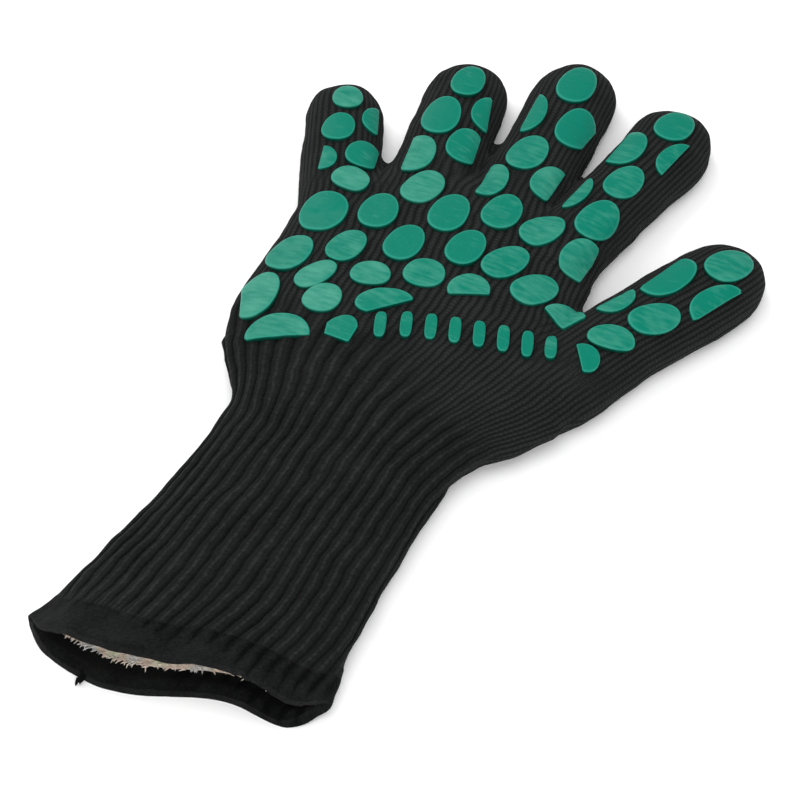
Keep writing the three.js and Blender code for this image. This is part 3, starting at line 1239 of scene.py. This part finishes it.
@dataclass(frozen=True)
class SiliconeFinish:
    """Green printed satin silicone, finely wrinkled, with painted shade down its sides, a painted
    highlight at its bevel and painted sheen in streaks on top.
    """

    # Painted shade on the pad's walls, a painted highlight on its bevel, and the silicone's own
    # green on top.
    shaded_side: Colour = (0.0002, 0.055, 0.036)
    rim_highlight: Colour = (0.012, 0.205, 0.145)
    top: Colour = (0.0002, 0.150, 0.100)
    # The colour of the painted sheen.
    sheen_tint: Colour = (0.05, 0.25, 0.18)
    stops: tuple[float, ...] = (0.35, 0.76, 0.89, 0.95, 0.985)
    roughness: float = 0.24
    streak_roughness: float = 0.25
    specular: float = 0.07
    relief: float = 0.20
    wrinkle: tuple[float, float] = (520.0, 3.0)
    cloud: tuple[float, float] = (130.0, 2.0)
    streak: tuple[float, float, tuple[float, float, float]] = (1.0, 3.0, (150.0, 620.0, 300.0))
    sheen_shares: tuple[float, float] = (1.5, 0.9)
    sheen_level: float = 1.55
    top_power: float = 4.0
    streak_relief: float = 1.4

    def material(self) -> bpy.types.Material:
        """Builds the material.

        Returns:
            The material.
        """
        nodes = NodeBuilder("green_silicone")
        wrinkle = nodes.noise(*self.wrinkle)
        cloud = nodes.noise(*self.cloud)
        streak = nodes.noise(*self.streak)
        lift = nodes.attribute("pad_lift")
        # The colour follows the pad's height: painted shade low on the walls, a painted highlight
        # at the bevel.
        colours = (self.shaded_side, self.shaded_side, self.rim_highlight, self.rim_highlight, self.top)
        base = nodes.colours(lift, tuple(zip(self.stops, colours)))
        # Painted sheen: lighter streaks on the pad tops, strongest on pads given the most.
        sheen_mask = nodes.weigh(*zip((streak, cloud), self.sheen_shares))
        sheen_mask = nodes.math("ADD", sheen_mask, nodes.attribute("pad_worn"))
        sheen_mask = nodes.clamp(nodes.math("SUBTRACT", sheen_mask, self.sheen_level))
        sheen_mask = nodes.math("MULTIPLY", sheen_mask, nodes.math("POWER", lift, self.top_power))
        nodes.feed("Base Color", nodes.mix_colours(sheen_mask, base, (*self.sheen_tint, 1.0)))
        rough = nodes.math("MULTIPLY", streak, self.streak_roughness)
        nodes.feed("Roughness", nodes.math("ADD", rough, self.roughness))
        nodes.feed("Specular IOR Level", self.specular)
        nodes.bump(nodes.weigh((wrinkle, 1.0), (streak, self.streak_relief)), self.relief)
        return nodes.material


# ---------------------------------------------------------------- knit, lining and binding


@dataclass
class LayerPieces:
    """Cuts one layer into the stretches that follow the bodies."""

    suffix: str

    def divide(self, skin: bpy.types.Object, bodies: list[str]) -> dict[str, bpy.types.Object]:
        """Splits a skin by body, so that neighbours share their rims exactly.

        Args:
            skin: The whole layer.
            bodies: The body of each of its faces.

        Returns:
            The pieces by body.
        """
        names = sorted(set(bodies))
        skin.data.materials.clear()
        for name in names:
            skin.data.materials.append(bpy.data.materials.new(f"cut_{self.suffix}_{name}"))
        order = {name: index for index, name in enumerate(names)}
        skin.data.polygons.foreach_set("material_index", [order[name] for name in bodies])
        skin.data.update()
        activate(skin)
        bpy.ops.object.mode_set(mode="EDIT")
        bpy.ops.mesh.select_all(action="SELECT")
        bpy.ops.mesh.separate(type="MATERIAL")
        bpy.ops.object.mode_set(mode="OBJECT")
        pieces = {}
        for piece in list(bpy.context.selected_objects):
            slot = piece.data.polygons[0].material_index
            name = piece.data.materials[slot].name.removeprefix(f"cut_{self.suffix}_")
            pieces[name] = piece
        return pieces

    def dress(self, piece: bpy.types.Object, name: str, material: bpy.types.Material) -> None:
        """Names a piece, gives it its finish and smooth shading.

        Args:
            piece: The piece.
            name: Its name.
            material: Its finish.
        """
        piece.name = name
        piece.data.name = name
        piece.data.materials.clear()
        piece.data.materials.append(material)
        piece.data.polygons.foreach_set("material_index", [0] * len(piece.data.polygons))
        piece.data.shade_smooth()

    def attach(self, piece: bpy.types.Object, body: str) -> None:
        """Attaches a piece to its body, or only bakes its transform into the mesh where the body
        has a bend.

        Args:
            piece: The piece.
            body: Its body's name.
        """
        if body in BENDS:
            bend = BENDS[body]
            bend.ends()
            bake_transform(piece)
        else:
            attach(piece, body)


@dataclass
class KnitShell:
    """The outer knit: ribbed cuff, hand and digits, and the bound mouth, in millimetres."""

    finish: KnitFinish = KnitFinish()
    binding_finish: BindingFinish = BindingFinish()
    form: GloveForm = field(default_factory=lambda: GloveForm(Layer.SHELL, 1.8))
    ribbing: Ribbing = field(default_factory=Ribbing)
    binding_wall: float = 3.8
    lip_share: float = 0.88
    inner_share: float = 0.3
    thinning: tuple[float, float] = (4.0, 9.0)
    ends: tuple[float, float] = (0.8, 0.96)
    lip_swell: float = 0.8
    lip_middle: float = 1.0
    lip_reach: float = 4.5
    lip_ripple: Ripple = Ripple(18.0, 31, 0.35)
    lip_round: float = 1.45
    lip_steps: int = 5
    lip_angle: float = 55.0
    surface: BVHTree | None = None

    def build(self) -> None:
        """Makes the skin, remembers its smooth surface, and divides it."""
        skin = self.form.fused()
        self.form.open_mouth(skin, 0.0)
        self.form.refine(skin)
        depth = self.form.shape_mouth(skin)
        self.surface = surface_of(skin.data)
        self.ribbing.raise_ribs(skin, depth)
        self.roll_lip(skin, depth)
        inside = face_means(skin.data, depth)
        bodies = [
            "binding" if within < BINDING_LENGTH else body_at(x, y)
            for (x, y, _), within in zip(face_centres(skin.data), inside)]
        cutter = LayerPieces("knit")
        material = self.finish.material()
        for body, piece in cutter.divide(skin, bodies).items():
            if body == "binding":
                self.bind(piece, cutter)
                continue
            cutter.dress(piece, f"knit_{body}", material)
            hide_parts(f"{body}_shell")
            cutter.attach(piece, body)
            LOG.info("knit_%s: %d faces", body, len(piece.data.polygons))

    def roll_lip(self, skin: bpy.types.Object, depth: np.ndarray) -> None:
        """Swells the skin a little at the mouth, where the edge is rolled over.

        Args:
            skin: The whole knit.
            depth: How deep inside the mouth each vertex lies, in millimetres.
        """
        rows = coordinates(skin.data)
        swell = self.lip_swell * np.exp(-((depth - self.lip_middle) / self.lip_reach) ** 2)
        swell = swell * (1 + self.lip_ripple.at(drawing(rows)))
        place_vertices(skin.data, rows + normals(skin.data) * (swell * MM)[:, None])

    def bind(self, piece: bpy.types.Object, cutter: LayerPieces) -> None:
        """Turns the band at the mouth into a wall, thick at its rounded lip and thin inside.

        Args:
            piece: The band.
            cutter: What dresses it.
        """
        cutter.dress(piece, "mouth_binding", self.binding_finish.material())
        depth = np.empty(len(piece.data.vertices), dtype=np.float32)
        piece.data.attributes["mouth_depth"].data.foreach_get("value", depth)
        points = drawing(coordinates(piece.data))
        aside = np.abs(points[:, 0] - self.form.mouth_middle) / self.form.mouth_half
        full = self.lip_share + (1 - self.lip_share) * ramp(aside, *self.ends)
        share = full * (1 - (1 - self.inner_share) * ramp(depth, *self.thinning))
        group = piece.vertex_groups.new(name="wall")
        for index, weight in enumerate(share):
            group.add([index], float(weight), "REPLACE")
        wall = piece.modifiers.new("wall", "SOLIDIFY")
        wall.thickness = self.binding_wall * MM
        wall.offset = -1.0
        wall.use_rim = True
        wall.vertex_group = group.name
        finish_modifier(piece, wall)
        self.round_lip(piece)
        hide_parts("cuff_binding")
        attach(piece, "cuff")
        LOG.info("mouth_binding: %d faces", len(piece.data.polygons))

    def round_lip(self, piece: bpy.types.Object) -> None:
        """Bevels the sharp edges that the wall left.

        Args:
            piece: The band.
        """
        bevel = piece.modifiers.new("lip", "BEVEL")
        bevel.width = self.lip_round * MM
        bevel.segments = self.lip_steps
        bevel.limit_method = "ANGLE"
        bevel.angle_limit = math.radians(self.lip_angle)
        finish_modifier(piece, bevel)
        piece.data.shade_smooth()


@dataclass
class Tufts:
    """Many small curved fibres in one piece, each rooted at its own place."""

    sides: int = 5
    rings: int = 4
    taper: float = 0.82
    point: float = 0.15
    bend: float = 0.35
    seed: int = 77

    def model_one(self) -> tuple[np.ndarray, np.ndarray]:
        """Models one tuft of length 1 along +Z, closed at both ends.

        Returns:
            Its vertices and its three-cornered faces.
        """
        deselect()
        bpy.ops.mesh.primitive_circle_add(vertices=self.sides, radius=1.0, fill_type="NGON")
        tuft = bpy.context.active_object
        bpy.ops.object.mode_set(mode="EDIT")
        bpy.ops.mesh.select_all(action="SELECT")
        for ring in range(1, self.rings + 1):
            rise = 1.0 / self.rings
            size = self.point if ring == self.rings else self.taper
            bpy.ops.mesh.extrude_region_move(TRANSFORM_OT_translate={"value": (0, 0, rise)})
            bpy.ops.transform.resize(value=(size, size, 1.0), center_override=(0, 0, 0))
        bpy.ops.mesh.select_all(action="SELECT")
        bpy.ops.mesh.normals_make_consistent(inside=False)
        bpy.ops.mesh.quads_convert_to_tris()
        bpy.ops.object.mode_set(mode="OBJECT")
        points = coordinates(tuft.data)
        faces = np.array([face.vertices[:] for face in tuft.data.polygons])
        bpy.data.objects.remove(tuft)
        return points, faces

    def plant(self, name: str,
              roots: list[tuple[Vector, Vector, float, float]]) -> bpy.types.Object:
        """Copies the tuft to every root.

        Args:
            name: Name of the piece.
            roots: Place, direction, length and half thickness of each tuft, in metres.

        Returns:
            The piece.
        """
        points, faces = self.model_one()
        source = np.random.default_rng(self.seed)
        all_points, all_faces = [], []
        for place, direction, length, thick in roots:
            turn = direction.to_track_quat("Z", "Y").to_matrix()
            curl = source.uniform(-self.bend, self.bend, 2)
            local = points * np.array([thick, thick, length])
            local[:, 0] += curl[0] * length * points[:, 2] ** 2
            local[:, 1] += curl[1] * length * points[:, 2] ** 2
            all_faces.append(faces + len(points) * len(all_points))
            all_points.append(local @ np.array(turn).T + np.array(place))
        rows, corners = np.concatenate(all_points), np.concatenate(all_faces)
        mesh = bpy.data.meshes.new(name)
        mesh.from_pydata(rows.tolist(), [], corners.tolist())
        piece = bpy.data.objects.new(name, mesh)
        bpy.context.scene.collection.objects.link(piece)
        mesh.shade_smooth()
        return piece


@dataclass
class FleeceLining:
    """The fleece inside, whose ragged edge shows at the mouth, in millimetres."""

    finish: FleeceFinish = FleeceFinish()
    form: GloveForm = field(
        default_factory=lambda: GloveForm(Layer.LINING, 2.6, smoothing=4, levels=1))
    edge_depth: float = 9.2
    fringe_gap: float = 0.3
    fringe_depth: float = 10.0
    fringe_power: float = 1.3
    fringe_count: int = 1800
    fringe_across: tuple[float, float] = (-55.0, 43.0)
    lower_share: float = 0.6
    cast_from: float = 9.5
    lean_aside: float = 0.35
    lean_inward: tuple[float, float] = (0.1, 0.7)
    fibre_length: tuple[float, float] = (1.3, 3.0)
    fibre_half: float = 0.33
    fibre_sunk: float = 0.2
    seed: int = 41

    def build(self) -> None:
        """Makes the lining and divides it."""
        skin = self.form.fused()
        self.form.open_mouth(skin, self.edge_depth)
        self.form.refine(skin)
        self.form.shape_mouth(skin)
        surface = surface_of(skin.data)
        bodies = [body_at(x, y) for x, y, _ in face_centres(skin.data)]
        cutter = LayerPieces("lining")
        material = self.finish.material()
        for body, piece in cutter.divide(skin, bodies).items():
            cutter.dress(piece, f"fleece_{body}", material)
            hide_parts(f"{body}_lining")
            cutter.attach(piece, body)
        self.fringe(surface, material)
        LOG.info("fleece: %d faces", len(bodies))

    def fringe(self, surface: BVHTree, material: bpy.types.Material) -> None:
        """Plants the fibres of the fleece's cut edge, above and below.

        Args:
            surface: The lining.
            material: The finish of the fleece.
        """
        source = np.random.default_rng(self.seed)
        roots = []
        for _ in range(self.fringe_count):
            x = source.uniform(*self.fringe_across)
            inside = self.fringe_depth * source.uniform() ** self.fringe_power
            down = source.uniform() < self.lower_share
            lip = float(np.interp(x, *zip(*(LOWER_LIP if down else UPPER_LIP))))
            y = lip + (self.edge_depth + self.fringe_gap + inside)
            aim = Vector((0, 0, -1 if down else 1))
            hit, _, _, _ = surface.ray_cast(to_row(Vector((x, y, self.cast_from))), aim)
            if hit is None:
                continue
            lean = Vector((source.normal(0, self.lean_aside), -1.0, 0))
            lean -= aim * source.uniform(*self.lean_inward)
            length = source.uniform(*self.fibre_length) * MM
            root = hit + aim * self.fibre_sunk * MM
            roots.append((root, lean.normalized(), length, self.fibre_half * MM))
        piece = Tufts().plant("fleece_fringe", roots)
        piece.data.materials.append(material)
        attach(piece, "cuff")


@dataclass
class YarnTail:
    """The short end of yarn left at the lower lip."""

    finish: BindingFinish = BindingFinish()
    place: tuple[float, float, float] = (-32.0, -167.6, 2.2)
    count: int = 5
    scatter: float = 0.9
    closeness: float = 0.6
    lean: float = -0.1
    lean_spread: tuple[float, float] = (0.35, 0.15)
    length: tuple[float, float] = (2.2, 3.4)
    half: float = 0.85
    bend: float = 0.5
    seed: int = 8

    def build(self) -> None:
        """Plants the tail."""
        source = np.random.default_rng(self.seed)
        aside, upwards = self.lean_spread
        roots = []
        for _ in range(self.count):
            spread = Vector(source.normal(0, self.scatter, 3)) * self.closeness
            root = to_row(Vector(self.place) + spread)
            across = source.normal(self.lean, aside)
            lean = Vector((across, -1.0, source.normal(self.lean, upwards)))
            length = source.uniform(*self.length) * MM
            roots.append((root, lean.normalized(), length, self.half * MM))
        piece = Tufts(bend=self.bend).plant("yarn_tail", roots)
        piece.data.materials.append(self.finish.material())
        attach(piece, "cuff")


# ---------------------------------------------------------------- silicone


# The seventh value of each spot is how much painted sheen lightens its top.
SPOTS = (
    Spot("heel_1", -59.7, -2.4, 15, 24.4, 4, 0.9, ((206, 5.2),), "spot_heel_1"),
    Spot("heel_2", -42.2, -18.2, 22.6, 20, 0, 0.7, ((-66, 1.8),), "spot_heel_2"),
    Spot("heel_3", -23.1, -8.2, 11.8, 14, 0, 0.4, ((-92, 4.8), (198, 5.4), (4, 5.0)),
         "spot_heel_3", egg=0.22),
    Spot("palm_1", -57.9, 44.6, 17.2, 20.4, 12, 0.1, (), "spot_palm_1", egg=0.0),
    Spot("palm_2", -39.8, 52.5, 14.2, 19.4, 12, 0.1, (), "spot_palm_2"),
    Spot("palm_3", -16.6, 62.6, 14, 21.4, 6, 0.2, (), "spot_palm_3"),
    Spot("palm_4", -0.3, 72.4, 13.8, 19.4, 2, 0.4, (), "spot_palm_4"),
    Spot("palm_5", 16.4, 71, 13.8, 18.6, -22, 0.6, (), "spot_palm_5"),
    Spot("palm_6", -3.1, 48.6, 13.2, 19.2, 0, 0.15, (), "spot_palm_6"),
    Spot("palm_7", 12.2, 49.1, 13.2, 20, -20, 0.5, (), "spot_palm_7"),
    Spot("palm_8", 26.6, 42.4, 13.6, 18.6, -26, 0.6, (), "spot_palm_8"),
    Spot("palm_9", -23.5, 40.7, 13.6, 19.4, 2, 0.15, (), "spot_palm_9"),
    Spot("palm_10", -41.4, 30.9, 12.9, 17.2, -8, 0.6, (), "spot_palm_10"),
    Spot("palm_11", -10, 29.6, 14.8, 14.4, 8, 0.6, (), "spot_palm_11"),
    Spot("palm_12", 7.4, 29.7, 14.8, 15, 0, 0.7, ((-62, 2.8),), "spot_palm_12"),
    Spot("palm_13", -59, 21.5, 15.3, 19.2, -6, 0.6, (), "spot_palm_13"),
    Spot("palm_14", -44.6, 13.6, 10.8, 16.8, -26, 0.9, (), "spot_palm_14"),
    Spot("palm_15", -36.5, 3.5, 13.6, 14.6, 0, 1.0, (), "spot_palm_15"),
    Spot("palm_16", -26.9, 21.2, 14.4, 12, 14, 0.8, (), "spot_palm_16"),
    Spot("palm_17", -16, 10.6, 20.6, 12.8, 26, 0.5, ((-44, 3.0),), "spot_palm_17"),
    Spot("little_1", -79.8, 104.5, 11, 13, 25, 0.8, (), "spot_little"),
    Spot("little_2", -74.7, 87.8, 11.8, 15.2, 14, 0.15),
    Spot("little_3", -63.8, 100.1, 14, 15.5, 26, 0.4, ((25, -1.5),)),
    Spot("little_4", -72.8, 69.7, 12.4, 12.8, 18, 0.5, ((198, -0.4),)),
    Spot("little_5", -60.2, 78.9, 12.4, 14.2, 14, 0.3, ((19, 4.6),)),
    Spot("little_6", -57.3, 64.5, 14.2, 12.8, 0, 1.0),
    Spot("ring_1", -43.5, 133.2, 12, 17.8, 9, 0.2, (), "spot_ring"),
    Spot("ring_2", -43.5, 110.9, 13.8, 21.6, 12, 0.1),
    Spot("ring_3", -28.6, 121.6, 14.4, 18.6, 14, 0.3, ((18, -1.0),)),
    Spot("ring_4", -42.7, 87.6, 14.6, 20.2, 6, 0.8, ((191, 2.9),)),
    Spot("ring_5", -29.1, 100.2, 12.5, 18.4, 8, 0.3, ((13, 4.2),)),
    Spot("ring_6", -31.5, 71.4, 14.2, 19.4, -6, 0.9),
    Spot("middle_1", -6.3, 149.9, 13.7, 21.6, 5, 0.1, (), "spot_middle"),
    Spot("middle_2", -16.6, 127.7, 15, 23.6, 6, 0.3, ((186, -1.2),)),
    Spot("middle_3", 3, 127.9, 13, 21.8, 3, 0.15, ((0, 5.6),)),
    Spot("middle_4", -5.9, 106.2, 13.8, 19.6, -2, 0.5),
    Spot("middle_5", -12.7, 87, 14.6, 19, 4, 0.6, ((183, 1.8),)),
    Spot("middle_6", 7.9, 95.9, 14, 17.6, 2, 0.7, ((2, 1.8),)),
    Spot("index_1", 35.9, 144.6, 13.6, 17.4, -6, 0.25, (), "spot_index"),
    Spot("index_2", 24.4, 125.6, 14.6, 20.8, -8, 0.4, ((176, 2.6),)),
    Spot("index_3", 44.5, 128, 14.2, 19.8, -8, 0.4, ((-9, -1.4),)),
    Spot("index_4", 31.9, 107.6, 12.4, 18.6, -10, 0.5),
    Spot("index_5", 16.6, 95.6, 13.6, 20.4, -10, 0.5, ((172, -1.8),)),
    Spot("index_6", 31.3, 85.4, 13.2, 20.8, -7, 0.4),
    Spot("index_7", 34.2, 65.6, 14.6, 18.6, 0, 0.6, ((2, 2.8),)),
    Spot("web", 41.2, 36.3, 15.8, 13.2, 0, 0.7, ((240, 4.4), (-29, 5.4))),
    Spot("thumb_1", 82.6, 84.7, 14.2, 18.6, -27, 0.6, (), "spot_thumb"),
    Spot("thumb_2", 65.8, 69.6, 15.6, 24.4, -22, 0.15, ((161, 3.0),)),
    Spot("thumb_3", 86.7, 65.7, 15, 23.5, -24, 0.4, ((-24, -0.4),)),
    Spot("thumb_4", 53.1, 51.5, 14, 16.6, -25, 0.5, ((152, -0.4),)),
    Spot("thumb_5", 69.8, 48.2, 12.6, 19.2, -42, 0.5),
    Spot("thumb_6", 60.4, 32.6, 16.4, 11.2, 16, 0.6),
    Spot("thumb_7", 55.6, 19, 12.4, 12.4, 0, 0.4, ((214, 1.0),)),
)
BAR_PLACES = (
    (-12, -0.5), (-4, 3.5), (4, 6.5), (12, 9), (20, 11.5), (28, 14), (36, 16.5), (44, 19),
)
# Bars carry a painted sheen of 0.3 on their tops.
BARS = tuple(
    Spot(f"bar_{number}", x, y, 4.2, 12.4, 22, 0.3, (), f"bar_{number}", 3.2, 0.0)
    for number, (x, y) in enumerate(BAR_PLACES, 1))


@dataclass
class GripPrint:
    """The raised silicone pads and bars, each lying on the knit, in millimetres."""

    surface: BVHTree
    finish: SiliconeFinish = SiliconeFinish()
    rise: float = 1.5
    foot: float = 0.5
    sides: int = 64
    wall: float = 0.8
    steps: tuple[tuple[float, float], ...] = (
        (0.035, 0.11), (0.05, 0.06), (0.08, 0.02), (0.2, 0.0), (0.2, 0.0), (0.2, 0.0))
    unevenness: Ripple = Ripple(7.0, 21, 0.07)
    cast_from: float = 60.0
    middle_height: float = 9.0
    stiff_edge: float = 2.0
    knuckles_half: float = 60.0
    pad: bpy.types.Mesh | None = None

    def model_pad(self) -> None:
        """Models one round pad of radius and height 1, which every spot copies."""
        deselect()
        bpy.ops.mesh.primitive_circle_add(vertices=self.sides, radius=1.0, fill_type="NGON")
        master = bpy.context.active_object
        bpy.ops.object.mode_set(mode="EDIT")
        bpy.ops.mesh.select_all(action="SELECT")
        bpy.ops.mesh.extrude_region_move(TRANSFORM_OT_translate={"value": (0, 0, self.wall)})
        for inset, lift in self.steps:
            bpy.ops.mesh.inset(thickness=inset, depth=0.0)
            bpy.ops.transform.translate(value=(0, 0, lift))
        bpy.ops.mesh.poke()
        bpy.ops.mesh.select_all(action="SELECT")
        bpy.ops.mesh.normals_make_consistent(inside=False)
        bpy.ops.object.mode_set(mode="OBJECT")
        self.pad = master.data
        bpy.data.objects.remove(master)

    def lay(self, spot: Spot, material: bpy.types.Material) -> bpy.types.Object:
        """Copies the pad, shapes it to a spot and lays it on the knit.

        Args:
            spot: The spot.
            material: Its finish.

        Returns:
            The piece.
        """
        mesh = self.pad.copy()
        piece = bpy.data.objects.new(f"silicone_{spot.name}", mesh)
        bpy.context.scene.collection.objects.link(piece)
        unit = coordinates(mesh)
        angle = np.arctan2(unit[:, 1], unit[:, 0])
        radius = np.hypot(unit[:, 0], unit[:, 1])
        reach = spot.reach(angle) * radius
        centre = spot.middle()
        x = centre[0] + np.cos(angle) * reach
        y = centre[1] + np.sin(angle) * reach
        rough = self.unevenness.at(np.stack([x, y, unit[:, 2]], axis=1))
        rows = np.empty_like(unit)
        for i in range(len(unit)):
            above = to_row(Vector((x[i], y[i], self.cast_from)))
            hit, normal, _, _ = self.surface.ray_cast(above, Vector((0, 0, -1)))
            if hit is None:
                beside = to_row(Vector((x[i], y[i], self.middle_height)))
                hit, normal, _, _ = self.surface.find_nearest(beside)
            height = -self.foot + unit[i, 2] * (self.rise + self.foot) + rough[i] * unit[i, 2]
            rows[i] = hit + normal * height * MM
        place_vertices(mesh, rows)
        store_value(piece, "pad_lift", unit[:, 2])
        # How much painted sheen lightens this pad's top, read by the silicone finish.
        store_value(piece, "pad_worn", np.full(len(unit), spot.worn))
        mesh.materials.clear()
        mesh.materials.append(material)
        mesh.shade_smooth()
        return piece

    def attach(self, piece: bpy.types.Object, spot: Spot) -> None:
        """Attaches a pad to the body under it, or only bakes its transform into the mesh where it
        lies over a bend.

        Args:
            piece: The pad.
            spot: Its spot.
        """
        size = max(spot.width, spot.length) / 2 - self.stiff_edge
        x, y = spot.middle()
        for name, bend in BENDS.items():
            along, across = bend.own(x, y)
            inside = bend.across[0] < across < bend.across[1]
            if name == "knuckles":
                inside = body_at(x, y) in ("hand", "knuckles") and abs(x) < self.knuckles_half
            if inside and bend.start - size < along < bend.end + size:
                bend.ends()
                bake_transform(piece)
                return
        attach(piece, body_at(x, y))

    def build(self) -> None:
        """Lays every spot and bar."""
        self.model_pad()
        material = self.finish.material()
        for spot in SPOTS + BARS:
            piece = self.lay(spot, material)
            if spot.node:
                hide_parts(spot.node)
            self.attach(piece, spot)
        bpy.data.meshes.remove(self.pad)
        LOG.info("silicone: %d pads and bars", len(SPOTS + BARS))


# ---------------------------------------------------------------- studio


@dataclass(frozen=True)
class Studio:
    """A white table, soft light and the camera."""

    target: tuple[float, float] = (1.41, -11.75)
    elevation: float = 46.0
    azimuth: float = 27.0
    distance: float = 1.034
    lens: float = 134.55
    sensor: float = 36.0
    near: float = 0.05
    table_size: float = 12.0
    table_drop: float = 0.0003
    table_grey: float = 0.93
    table_roughness: float = 0.8
    table_specular: float = 0.2
    sky: float = 0.78
    panels: tuple[tuple[str, tuple[float, float, float], float, float], ...] = (
        ("window", (-1.1, 0.5, 1.1), 1.2, 14.0),
        ("overhead", (0.2, -0.2, 1.8), 1.6, 12.0),
        ("front", (0.45, -0.95, 0.6), 0.6, 7.0),
    )

    def floor(self) -> None:
        """Lays the table."""
        deselect()
        bpy.ops.mesh.primitive_plane_add(size=self.table_size, location=(0, 0, -self.table_drop))
        table = bpy.context.active_object
        table.name = "table"
        nodes = NodeBuilder("white_table")
        nodes.feed("Base Color", (self.table_grey, self.table_grey, self.table_grey, 1.0))
        nodes.feed("Roughness", self.table_roughness)
        nodes.feed("Specular IOR Level", self.table_specular)
        table.data.materials.append(nodes.material)

    def light(self) -> None:
        """Lights the table evenly, with a broad window from the left."""
        world = bpy.data.worlds.new("studio")
        bpy.context.scene.world = world
        world.use_nodes = True
        background = world.node_tree.nodes["Background"]
        background.inputs["Color"].default_value = (1.0, 1.0, 1.0, 1.0)
        background.inputs["Strength"].default_value = self.sky
        for panel in self.panels:
            self.hang(*panel)

    def hang(self, name: str, place: tuple[float, float, float], size: float,
             power: float) -> None:
        """Hangs one square light facing the glove.

        Args:
            name: Its name.
            place: Where it hangs, in metres.
            size: Its side, in metres.
            power: Its power, in watts.
        """
        lamp = bpy.data.lights.new(name, "AREA")
        lamp.shape = "SQUARE"
        lamp.size = size
        lamp.energy = power
        piece = bpy.data.objects.new(name, lamp)
        bpy.context.scene.collection.objects.link(piece)
        piece.location = place
        piece.rotation_euler = (-Vector(place)).to_track_quat("-Z", "Y").to_euler()

    def camera(self) -> None:
        """Sets the camera over the cuff, looking along the glove."""
        elevation, azimuth = math.radians(self.elevation), math.radians(self.azimuth)
        back = Vector((
            math.sin(azimuth) * math.cos(elevation),
            -math.cos(azimuth) * math.cos(elevation), math.sin(elevation)))
        target = to_row(Vector((*self.target, 0.0)))
        lens = bpy.data.cameras.new("camera")
        lens.lens = self.lens
        lens.sensor_width = self.sensor
        lens.clip_start = self.near
        piece = bpy.data.objects.new("camera", lens)
        bpy.context.scene.collection.objects.link(piece)
        piece.location = target + back * self.distance
        piece.rotation_euler = (-back).to_track_quat("-Z", "Y").to_euler()
        bpy.context.scene.camera = piece

    def build(self) -> None:
        """Sets the stage."""
        self.camera()
        self.floor()
        self.light()
        bpy.context.scene.view_settings.view_transform = "Standard"


def main() -> None:
    """Builds the glove in order and reports each part."""
    logging.basicConfig(level=logging.INFO, format="%(name)s: %(message)s")
    Studio().build()
    knit = KnitShell()
    knit.build()
    FleeceLining().build()
    YarnTail().build()
    GripPrint(knit.surface).build()


if __name__ == "__main__":
    main()
